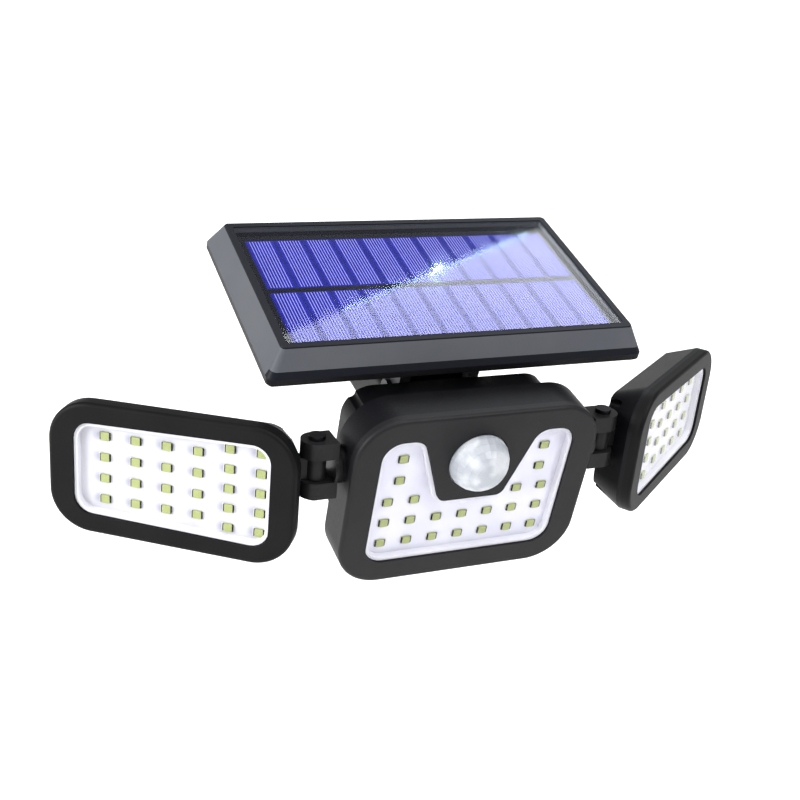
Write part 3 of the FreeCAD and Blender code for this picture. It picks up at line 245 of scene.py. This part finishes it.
SWIVEL_BACK = 0.0105
SWIVEL_UP = 0.0111
HINGE_OUT = 0.0525
PIN_OUT = 0.0429
PIN_BACK = 0.0143
PIN_UP = 0.0072
SET_AT = {-1: (-11.0, -34.0), 1: (-10.0, 36.5)}


def on_side(side):
    """From a side head's own frame, modelled for the right, to where it is at rest."""
    swivel, yaw = SET_AT[side]
    return (Matrix.Translation((0, -FACE_REACH + SWIVEL_BACK, SWIVEL_UP))
            @ Matrix.Rotation(math.radians(swivel), 4, "X")
            @ Matrix.Translation((side * HINGE_OUT, 0, 0))
            @ Matrix.Rotation(math.radians(yaw), 4, "Z")
            @ Matrix.Translation((side * PIN_OUT, -PIN_BACK, -PIN_UP)))


def own_place(start, place, matrix):
    """Coordinates in a head's or the panel's own frame."""
    turn = tuple(matrix.to_euler())
    sockets = {"Vector": place, "Location": tuple(matrix.translation), "Rotation": turn}
    moved = start.node("ShaderNodeMapping", {"vector_type": "TEXTURE"}, sockets)
    return [start.node("ShaderNodeSeparateXYZ", {}, {"Vector": moved}, axis) for axis in range(3)]


def settle(shape, name, place, materials, body, smooth=False):
    """A bmesh as a finished piece on a body, its place in its mesh."""
    bmesh.ops.transform(shape, matrix=place, verts=shape.verts)
    mesh = bpy.data.meshes.new(name)
    shape.to_mesh(mesh)
    shape.free()
    for made in materials:
        mesh.materials.append(made)
    for polygon in mesh.polygons:
        polygon.use_smooth = smooth
    piece = bpy.data.objects.new(name, mesh)
    bpy.context.scene.collection.objects.link(piece)
    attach(piece, body)
    return piece


# Grey of the painted shadows laid on the board beside the side heads' LEDs.
PAINTED_SHADOW_GREY = (0.26, 0.26, 0.33)


def white_board(name, dark, light, dull_patch_and_shadow=None):
    """Glossy white solder mask, greyed by a painted shadow where a shadow mask says."""
    made, shader, start, place = finish(name, Coat_Weight=0.25, Coat_Roughness=0.2)
    cloud = start.noise(place, 70.0, 4.0)
    grain = start.noise(place, 1500.0)
    mask = cloud.eased(0.3, 0.7, 0.0, 1.0).blended(dark, light)
    # Painted shadow: the board is greyed beside each LED where the mask says.
    if dull_patch_and_shadow:
        mask = dull_patch_and_shadow(start, place).blended(mask, PAINTED_SHADOW_GREY)
    feed(start, shader,
         Base_Color=mask,
         Roughness=0.30 + 0.15 * grain,
         Normal=relief(start, grain, 0.00001))
    return made


# A dab of white silicone fills the hole where the wires come through the centre board.
DAB_RADIUS = 0.0020
DAB_TALL = 0.0003
WIRE_HOLE_UP = -0.004
shape = bmesh.new()
bmesh.ops.create_uvsphere(shape, u_segments=20, v_segments=10, radius=DAB_RADIUS)
bmesh.ops.scale(shape, verts=shape.verts, vec=(1, DAB_TALL / DAB_RADIUS, 1))
bmesh.ops.translate(shape, verts=shape.verts, vec=(0, BOARD_AT, WIRE_HOLE_UP))
silicone = moulded("white_silicone", (0.60, 0.60, 0.68), (0.70, 0.70, 0.77), 0.35)
settle(shape, "wire_hole_dab", on_centre(), [silicone], "housing", True)

SIDE_COLUMN_PITCH = 0.0103
SIDE_FIELD_SHIFT = 0.003
FIVE_PITCH = 0.0069
FOUR_PITCH = 0.0074
COLUMNS = ((5, FIVE_PITCH),) * 2 + ((4, FOUR_PITCH),) * 4
COLUMN_MIDDLE = (len(COLUMNS) - 1) / 2
# Offset, reach and strength of the painted shadows beside each side-head LED.
SHADOW_SHIFT = 0.0022
SHADOW_REACH = 0.0030
SHADOW_STRENGTH = 0.75


def painted_led_shadows(side):
    """Mask of the painted soft shadows beside the LEDs of a side head."""
    def mask(start, place):
        x, depth, z = own_place(start, place, on_side(side))
        x = x * side
        first = SIDE_FIELD_SHIFT + COLUMN_MIDDLE * SIDE_COLUMN_PITCH + side * SHADOW_SHIFT
        column = (x + first) / SIDE_COLUMN_PITCH
        nearest = start.maths("ROUND", column, 0.0)
        along = (column - nearest) * SIDE_COLUMN_PITCH
        fives = 1 - nearest.above(1.5)
        five_row = start.maths("PINGPONG", z, FIVE_PITCH / 2)
        four_row = FOUR_PITCH / 2 - start.maths("PINGPONG", z, FOUR_PITCH / 2)
        across = fives * five_row + (1 - fives) * four_row
        away = start.maths("POWER", along * along + across * across, 0.5)
        return SHADOW_STRENGTH * away.eased(0.0, SHADOW_REACH, 1.0, 0.0)
    return mask


wear(white_board("centre_board_white", (0.60, 0.60, 0.68), (0.70, 0.70, 0.77)), "centre_led_board")
for side, name in ((-1, "left"), (1, "right")):
    board = white_board(name + "_board_white", (0.52, 0.52, 0.55), (0.60, 0.60, 0.63), painted_led_shadows(side))
    wear(board, name + "_led_board")

# ---------------------------------------------------------------- LED packages
# 3.5 x 2.8 mm surface-mounted packages: a reflector cup filled with yellow-green phosphor,
# with a dark terminal at each end, soldered to a pad.
PACKAGE = Vector((0.0028, 0.0007, 0.0028))
PACKAGE_CORNER = 0.0003
CUP_WALL = 0.00022
CUP_SLOPE = 0.00006
CUP_DIP = 0.00008
TERMINAL = Vector((0.00035, 0.00062, 0.0024))
PAD = Vector((0.0006, 0.00005, 0.0028))


def brick(shape, middle, size, material, rounding=0.0):
    """A block in a bmesh, with its upright edges rounded, in one of the object's materials."""
    matrix = Matrix.Translation(middle) @ Matrix.Diagonal((*size, 1))
    made = bmesh.ops.create_cube(shape, size=1.0, matrix=matrix)
    faces = {face for vert in made["verts"] for face in vert.link_faces}
    if rounding:
        upright = [edge for edge in {e for v in made["verts"] for e in v.link_edges}
                   if abs((edge.verts[0].co - edge.verts[1].co).y) > 0.5 * size[1]]
        cut = bmesh.ops.bevel(shape, geom=upright, offset=rounding, segments=2, profile=0.5,
                              affect="EDGES", material=-1)
        faces = {face for face in faces if face.is_valid} | set(cut["faces"])
    for face in faces:
        face.material_index = material
    return faces


def led(shape, x, z):
    """One package at a place on a head, looking out of its face."""
    front = BOARD_AT - PACKAGE.y
    middle = Vector((x, front + PACKAGE.y / 2, z))
    body = brick(shape, middle, PACKAGE, 0, PACKAGE_CORNER)
    top = min(body, key=lambda face: face.calc_center_median().y)
    bmesh.ops.inset_region(shape, faces=[top], thickness=CUP_WALL)
    bmesh.ops.inset_region(shape, faces=[top], thickness=CUP_SLOPE, depth=-CUP_DIP)
    top.material_index = 1
    for side in (-1, 1):
        end = x + side * (PACKAGE.x / 2 + TERMINAL.x / 2)
        brick(shape, Vector((end, BOARD_AT - TERMINAL.y / 2, z)), TERMINAL, 2)
        brick(shape, Vector((end + side * PAD.x / 2, BOARD_AT - PAD.y / 2, z)), PAD, 3)


cup_white, shader, start, place = finish("led_cup_white")
grain = start.noise(place, 1800.0)
feed(start, shader,
     Base_Color=grain.blended((0.26, 0.30, 0.08), (0.36, 0.40, 0.16)),
     Roughness=0.35 + 0.2 * grain)

tin = plated("led_terminal_tin", (0.006, 0.006, 0.007), (0.03, 0.03, 0.032), 0.45)
solder = moulded("led_solder_pad", (0.50, 0.50, 0.52), (0.66, 0.66, 0.68), 0.35)


def phosphor(name, green, warm, low, high):
    """Phosphor gel: yellow-green, warmer in some packages, with a faint painted glow of its own tint."""
    # Painted glow: the phosphor emits light of its own tint though the LEDs are off.
    made, shader, start, place = finish(name, Coat_Weight=0.6, Coat_Roughness=0.1,
                                        Emission_Strength=0.35)
    batch = start.noise(place, 95.0, 1.0).eased(low, high, 0.0, 1.0)
    fleck = start.noise(place, 2400.0)
    tint = batch.blended(green, warm)
    feed(start, shader,
         Base_Color=(0.3 * fleck).blended(tint, (0.66, 0.76, 0.20)),
         Emission_Color=tint,
         Roughness=0.25 + 0.2 * fleck)
    return made


centre_phosphor = phosphor("phosphor_centre", (0.44, 0.58, 0.05), (0.54, 0.58, 0.06), 0.4, 0.7)
side_phosphor = phosphor("phosphor_side", (0.36, 0.56, 0.012), (0.74, 0.40, 0.03), 0.46, 0.62)

COLUMN_PITCH = 0.0095
ROW_PITCH = 0.0086
MIDDLE_ROW = -0.0013
ARM_LED_X = 0.02565
shape = bmesh.new()
for row in (1, 2):
    for column in range(-3, 4):
        led(shape, column * COLUMN_PITCH, MIDDLE_ROW - row * ROW_PITCH)
for column in (-3, -2, 2, 3):
    led(shape, column * COLUMN_PITCH, MIDDLE_ROW)
for row in (1, 2):
    for side in (-1, 1):
        led(shape, side * ARM_LED_X, MIDDLE_ROW + row * ROW_PITCH)
leds = settle(shape, "centre_led_packages", on_centre(), [cup_white, centre_phosphor, tin, solder],
              "housing")
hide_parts("centre_leds")

for side, name in ((-1, "left"), (1, "right")):
    shape = bmesh.new()
    for column, (count, pitch) in enumerate(COLUMNS):
        for row in range(count):
            x = (column - COLUMN_MIDDLE) * SIDE_COLUMN_PITCH - SIDE_FIELD_SHIFT
            led(shape, side * x, (row - (count - 1) / 2) * pitch)
    leds = settle(shape, name + "_led_packages", on_side(side), [cup_white, side_phosphor, tin, solder],
                  name + "_head")
    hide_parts(name + "_leds")

# ---------------------------------------------------------------- clear windows
# Flat clear polycarbonate covers, bonded on the ledge of each front frame. They let the
# board show and take a faint reflection that grows at a grazing angle.
def clear_sheet(name, tint, glancing):
    """Clear plastic or glass that lets what is under it show, with a faint reflection."""
    made = bpy.data.materials.new(name)
    made.use_nodes = True
    made.node_tree.nodes.clear()
    start = Paint(made.node_tree)
    place = start.node("ShaderNodeTexCoord", {}, {}, "Object")
    haze = start.noise(place, 120.0)
    facing = start.node("ShaderNodeLayerWeight", {}, {"Blend": 0.5}, "Facing")
    sheen = 0.004 + glancing * start.maths("POWER", facing, 4.0)
    gloss = start.node("ShaderNodeBsdfGlossy", {}, {"Color": (1, 1, 1, 1), "Roughness": 0.03 + 0.03 * haze})
    through = start.node("ShaderNodeBsdfTransparent", {}, {"Color": (*tint, 1)})
    cover = start.node("ShaderNodeMixShader", {}, {0: sheen, 1: through, 2: gloss})
    start.node("ShaderNodeOutputMaterial", {}, {"Surface": cover}, None)
    return made


clear = clear_sheet("clear_cover", (0.985, 0.985, 0.995), 0.30)
wear(clear, "centre_lens", "left_lens", "right_lens")

# White moulded liners between each board and its cover. A flange round the cover's rim hides
# the dark ledge and shows as a pale rim, and a wall goes down from it to the board.
LINER_OUT = 0.00012
FLANGE_WIDE = 0.00052
LINER_WALL = 0.00065
SEAT = 0.0020
FLANGE_DEEP = 0.0010
SAME_SPOT = 0.00001
WINDOW_X = 0.0347
WINDOW_Z = 0.02455
WINDOW_CORNER = 0.007
NOTCH_TOP_X = 0.0205
NOTCH_TOP_CORNER = 0.006
NOTCH_FLOOR_X = 0.0115
NOTCH_FLOOR_Z = -0.0009
NOTCH_FLOOR_CORNER = 0.0033
SIDE_WINDOW_X = 0.0325
SIDE_INNER_Z = 0.01795
SIDE_OUTER_Z = 0.0159
SIDE_WINDOW_CORNER = 0.0062


def moved_verts(made):
    """The corners among an extrusion's results."""
    return [part for part in made if isinstance(part, bmesh.types.BMVert)]


def liner(name, corners, radii, place, body):
    """The ring for one window, from the window's corners and their radii."""
    shape = bmesh.new()
    near = [shape.verts.new((x, SEAT - FLANGE_DEEP, z)) for x, z in corners]
    shape.faces.new(near)
    spans = [Vector(b) - Vector(a) for a, b in zip(corners, corners[1:] + corners[:1])]
    for vert, radius, before, after in zip(near, radii, spans[-1:] + spans[:-1], spans):
        reach = radius * math.tan(before.angle(after) / 2)
        bmesh.ops.bevel(shape, geom=[vert], offset=reach, segments=6, profile=0.5,
                        affect="VERTICES", material=-1)
    sheet = shape.faces[:]
    bands = [bmesh.ops.inset_region(shape, faces=sheet, thickness=wide, use_boundary=True,
                                    use_even_offset=True)["faces"]
             for wide in (LINER_OUT, FLANGE_WIDE, LINER_WALL)]
    bmesh.ops.delete(shape, geom=sheet + bands[0], context="FACES")
    rim = [face.calc_center_median() for face in bands[1]]
    back = bmesh.ops.extrude_face_region(shape, geom=bands[1] + bands[2])["geom"]
    bmesh.ops.translate(shape, verts=moved_verts(back), vec=(0, FLANGE_DEEP, 0))
    deep = [face for face in back if isinstance(face, bmesh.types.BMFace)
            and min((face.calc_center_median().xz - spot.xz).length for spot in rim) > SAME_SPOT]
    deep = bmesh.ops.extrude_face_region(shape, geom=deep)["geom"]
    bmesh.ops.translate(shape, verts=moved_verts(deep), vec=(0, BOARD_AT - SEAT, 0))
    bmesh.ops.recalc_face_normals(shape, faces=shape.faces)
    settle(shape, name, place, [liner_white], body)


liner_white = moulded("liner_white", (0.66, 0.66, 0.71), (0.74, 0.74, 0.78), 0.45)
corners = [(-WINDOW_X, -WINDOW_Z), (WINDOW_X, -WINDOW_Z), (WINDOW_X, WINDOW_Z), (NOTCH_TOP_X, WINDOW_Z),
           (NOTCH_FLOOR_X, NOTCH_FLOOR_Z), (-NOTCH_FLOOR_X, NOTCH_FLOOR_Z), (-NOTCH_TOP_X, WINDOW_Z),
           (-WINDOW_X, WINDOW_Z)]
radii = [WINDOW_CORNER] * 3 + [NOTCH_TOP_CORNER] + [NOTCH_FLOOR_CORNER] * 2 + [NOTCH_TOP_CORNER, WINDOW_CORNER]
liner("centre_window_liner", corners, radii, on_centre(), "housing")
for side, name in ((-1, "left"), (1, "right")):
    end = side * SIDE_WINDOW_X
    corners = [(-end, -SIDE_INNER_Z), (end, -SIDE_OUTER_Z), (end, SIDE_OUTER_Z), (-end, SIDE_INNER_Z)]
    liner(name + "_window_liner", corners, [SIDE_WINDOW_CORNER] * 4, on_side(side), name + "_head")

# ---------------------------------------------------------------- sensor dome
# Milky polyethylene half ball, moulded inside with rings of small square lenses, which
# show through as faint facets. It stands through the front frame over the sensor.
DOME_RADIUS = 0.0105
DOME_UP = 0.0143
DOME_SUNK = 0.0010
DOME_SHY = 0.00002
DOME_WALL = 0.0009
FACET_LAND = 0.00010
FACET_DIP = 0.00005

shape = bmesh.new()
bmesh.ops.create_uvsphere(shape, u_segments=24, v_segments=14, radius=DOME_RADIUS - DOME_SHY)
bmesh.ops.rotate(shape, verts=shape.verts, matrix=Matrix.Rotation(math.radians(90), 3, "X"))
bmesh.ops.bisect_plane(shape, geom=shape.verts[:] + shape.edges[:] + shape.faces[:],
                       plane_co=(0, 0, 0), plane_no=(0, 1, 0), clear_outer=True)
facets = [face for face in shape.faces if len(face.verts) == 4]
bmesh.ops.inset_individual(shape, faces=facets, thickness=FACET_LAND, depth=-FACET_DIP)
rim = [edge for edge in shape.edges if edge.is_boundary]
skirt = bmesh.ops.extrude_edge_only(shape, edges=rim)
bmesh.ops.translate(shape, verts=moved_verts(skirt["geom"]), vec=(0, BOARD_AT - DOME_SUNK, 0))
bmesh.ops.recalc_face_normals(shape, faces=shape.faces)

milky, shader, start, place = finish("milky_dome", Subsurface_Weight=0.35,
                                     Subsurface_Radius=(0.004, 0.004, 0.004),
                                     Coat_Weight=0.35, Coat_Roughness=0.25)
middle = start.node("ShaderNodeMapping", {}, {"Vector": place, "Location": (0, FACE_REACH, -DOME_UP)})
cloud = start.noise(middle, 160.0, 1.0)
feed(start, shader,
     Base_Color=cloud.eased(0.38, 0.62, 0.0, 1.0).blended((0.34, 0.36, 0.40), (0.50, 0.52, 0.55)),
     Roughness=0.38 + 0.12 * cloud)
seat = on_centre() @ Matrix.Translation((0, DOME_SUNK, DOME_UP))
dome = settle(shape, "sensor_dome", seat, [milky], "housing")
shell = dome.modifiers.new("wall", "SOLIDIFY")
shell.thickness = DOME_WALL
shell.offset = -1
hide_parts("pir_dome")

# ---------------------------------------------------------------- side joints
# Each elbow's journal turns in a socket of the casing, against a rubber collar, and its
# fork holds the head's neck on a steel pin. The mouldings are the same black ABS.
joint_abs = moulded("joint_abs", (0.008, 0.008, 0.0085), (0.013, 0.013, 0.014), 0.30, 1100.0)
black_oxide = plated("black_oxide", (0.015, 0.015, 0.017), (0.04, 0.04, 0.045), 0.32)
for name in ("left", "right"):
    wear(joint_abs, name + "_elbow", name + "_neck")
    wear(black_oxide, name + "_hinge_pin")
    wear(side_frame_abs, name + "_bezel")
    wear(shell_abs, name + "_casing")

# ---------------------------------------------------------------- solar panel: frame and bracket
# A flared tray of satin grey ABS with a black rim round the glass, a black cover under it, and the
# hinge bracket screwed to that cover. A dark band is painted along its front foot: partly the
# cover's black lower lip, partly painted shade along the foot of the wall.
PANEL_AT = Vector((0, -0.0561, 0.05085))
PANEL_TILT = math.radians(5.2)
RIM_BAND = -0.0004
FOOT_BAND = -0.0068
FOOT_FRONT = -0.0375


def on_panel():
    return Matrix.Translation(PANEL_AT) @ Matrix.Rotation(PANEL_TILT, 4, "X")


tray, shader, start, place = finish("panel_tray", Specular_IOR_Level=0.10)
x, y, z = own_place(start, place, on_panel())
cloud = start.noise(place, 30.0)
grain = start.noise(place, 1500.0)
grey = cloud.eased(0.3, 0.7, 0.0, 1.0).blended((0.070, 0.074, 0.085), (0.080, 0.084, 0.094))
# Front-foot band painted dark: it stands for the cover's black lip and for the shade along the foot.
foot_lip_and_shade = (1 - z.above(FOOT_BAND)) * (1 - y.above(FOOT_FRONT))
dark = start.maths("MAXIMUM", z.above(RIM_BAND), foot_lip_and_shade)
feed(start, shader,
     Base_Color=dark.blended(grey, (0.006, 0.007, 0.011)),
     Roughness=0.40 + 0.10 * grain,
     Normal=relief(start, grain, 0.00002))
wear(tray, "panel_frame")
wear(black_abs, "panel_back")
wear(moulded("bracket_grey", (0.030, 0.031, 0.036), (0.045, 0.046, 0.052), 0.4), "panel_bracket")
wear(black_oxide, "panel_pin", "panel_nut")

# ---------------------------------------------------------------- solar cells
# Two rows of narrow blue silicon cells on a dark backing sheet. Each has fine printed
# silver fingers along it, and a thin gap of bare sheet to the next.
CELL_TOP = -0.00215
CELL_THICK = 0.00018
CELL_COLUMNS = 11
CELL_PITCH = 0.01058
CELL_WIDE = 0.00970
CELL_LONG = 0.0289
FINGER_SHY = 0.0006
ROW_Y = (0.01315, -0.01855)
FINGERS = 8
FINGER_SPREAD = 0.0074
FINGER_WIDE = 0.00024
FINGER_LIFT = 0.00003

shape = bmesh.new()
for column in range(CELL_COLUMNS):
    x = (column - (CELL_COLUMNS - 1) / 2) * CELL_PITCH
    for y in ROW_Y:
        brick(shape, Vector((x, y, CELL_TOP - CELL_THICK / 2)),
              Vector((CELL_WIDE, CELL_LONG, CELL_THICK)), 0)
        for finger in range(FINGERS):
            offset = (finger / (FINGERS - 1) - 0.5) * (FINGER_SPREAD - FINGER_WIDE)
            brick(shape, Vector((x + offset, y, CELL_TOP + FINGER_LIFT / 2)),
                  Vector((FINGER_WIDE, CELL_LONG - FINGER_SHY, FINGER_LIFT)), 1)

silicon, shader, start, place = finish("blue_silicon", Specular_IOR_Level=0.0)
crystal = start.node("ShaderNodeTexVoronoi", {}, {"Vector": place, "Scale": 420.0}, "Color")
glint = start.node("ShaderNodeSeparateColor", {}, {0: crystal}, 0)
feed(start, shader,
     Base_Color=glint.blended((0.010, 0.010, 0.22), (0.018, 0.019, 0.30)),
     Roughness=0.30 + 0.15 * glint)

silver, shader, start, place = finish("silver_fingers", Specular_IOR_Level=0.0)
grain = start.noise(place, 900.0)
feed(start, shader,
     Base_Color=grain.blended((0.30, 0.30, 0.72), (0.40, 0.40, 0.82)),
     Roughness=0.35 + 0.2 * grain)
cells = settle(shape, "solar_cell_rows", on_panel(), [silicon, silver], "panel")
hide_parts("solar_cells")

FIELD_X = 0.0581
FIELD_Y = (-0.0333, 0.0279)
ROW_GAP_Y = (-0.0039, -0.0015)
backing, shader, start, place = finish("backing_sheet", Specular_IOR_Level=0.0)
x, y, z = own_place(start, place, on_panel())
inside = (1 - x.above(FIELD_X)) * x.above(-FIELD_X)
inside = inside * y.above(FIELD_Y[0]) * (1 - y.above(FIELD_Y[1]))
inside = inside * (1 - y.above(ROW_GAP_Y[0]) * (1 - y.above(ROW_GAP_Y[1])))
grain = start.noise(place, 500.0)
blue = grain.blended((0.007, 0.013, 0.13), (0.012, 0.020, 0.19))
feed(start, shader,
     Base_Color=inside.blended((0.0055, 0.006, 0.011), blue),
     Roughness=0.3 + 0.2 * grain)
wear(backing, "panel_laminate")
wear(clear_sheet("panel_cover", (0.97, 0.98, 1.0), 0.55), "panel_glass")

# ---------------------------------------------------------------- floor and light
# A plain pale floor well under the light, and soft boxes at the left, above and in front.
FLOOR_Z = -0.16
FLOOR_REACH = 6.0
shape = bmesh.new()
bmesh.ops.create_grid(shape, x_segments=1, y_segments=1, size=FLOOR_REACH)
bmesh.ops.translate(shape, verts=shape.verts, vec=(0, 0, FLOOR_Z))
mesh = bpy.data.meshes.new("floor")
shape.to_mesh(mesh)
shape.free()
floor = bpy.data.objects.new("floor", mesh)
bpy.context.scene.collection.objects.link(floor)
paper, shader, start, place = finish("floor_paper", Emission_Color=(1, 1, 1, 1), Emission_Strength=0.45)
cloud = start.noise(place, 2.0)
feed(start, shader,
     Base_Color=cloud.blended((0.90, 0.90, 0.90), (0.93, 0.93, 0.93)),
     Roughness=0.7 + 0.1 * cloud)
mesh.materials.append(paper)


def soft_box(name, at, towards, wide, tall, power, colour=(1, 1, 1)):
    data = bpy.data.lights.new(name, "AREA")
    data.shape = "RECTANGLE"
    data.size = wide
    data.size_y = tall
    data.energy = power
    data.color = colour
    box = bpy.data.objects.new(name, data)
    bpy.context.scene.collection.objects.link(box)
    box.location = at
    way = Vector(towards) - Vector(at)
    box.rotation_euler = way.to_track_quat("-Z", "Y").to_euler()
    box.visible_camera = False
    return box


soft_box("left_box", (-1.5, -0.1, 0.5), (0, -0.08, 0.02), 0.9, 0.9, 34.0)
soft_box("top_box", (0.0, -0.4, 1.8), (0, -0.1, 0), 1.6, 1.6, 24.0)
soft_box("front_box", (0.65, -0.95, 1.2), (0, -0.08, 0), 0.5, 0.5, 12.0)

# The bright card far behind that shows in the panel's glass: its sharp lower edge crosses
# the glass from its near left corner to its far right one, with a brighter edge and a spark.
CARD_LEFT = Vector((0.469, 1.2, 1.221))
CARD_RIGHT = Vector((0.944, 1.2, 0.989))
CARD_SPARK = 0.61
CARD_TALL = 0.75


def card(name, low, tall, start, stop, power, colour):
    """A strip of the card, between two shares of its edge's length and two heights over it."""
    along = CARD_RIGHT - CARD_LEFT
    up = Vector((-along.z, 0, along.x)).normalized()
    middle = CARD_LEFT + along * (start + stop) / 2 + up * (low + tall / 2)
    wide = along.length * (stop - start)
    strip = soft_box(name, middle, middle + Vector((0, -1, 0)), wide, tall, power, colour)
    strip.matrix_world = Matrix((
        (*along.normalized(), 0), (*up, 0), (0, 1, 0, 0), (0, 0, 0, 1))).transposed()
    strip.location = middle
    strip.visible_diffuse = False
    strip.visible_volume_scatter = False
    return strip


card("card", 0.0, CARD_TALL, -0.6, 1.9, 18.0, (0.93, 0.96, 1.0))
card("card_edge", -0.004, 0.010, 0.25, 0.95, 0.25, (0.55, 0.85, 1.0))
card("card_spark", -0.010, 0.020, CARD_SPARK - 0.02, CARD_SPARK + 0.02, 0.12, (0.6, 0.95, 1.0))

world = bpy.data.worlds.new("studio")
world.use_nodes = True
sky = world.node_tree.nodes["Background"]
sky.inputs["Color"].default_value = (1, 1, 1, 1)
sky.inputs["Strength"].default_value = 0.42
bpy.context.scene.world = world
bpy.context.scene.view_settings.view_transform = "Standard"
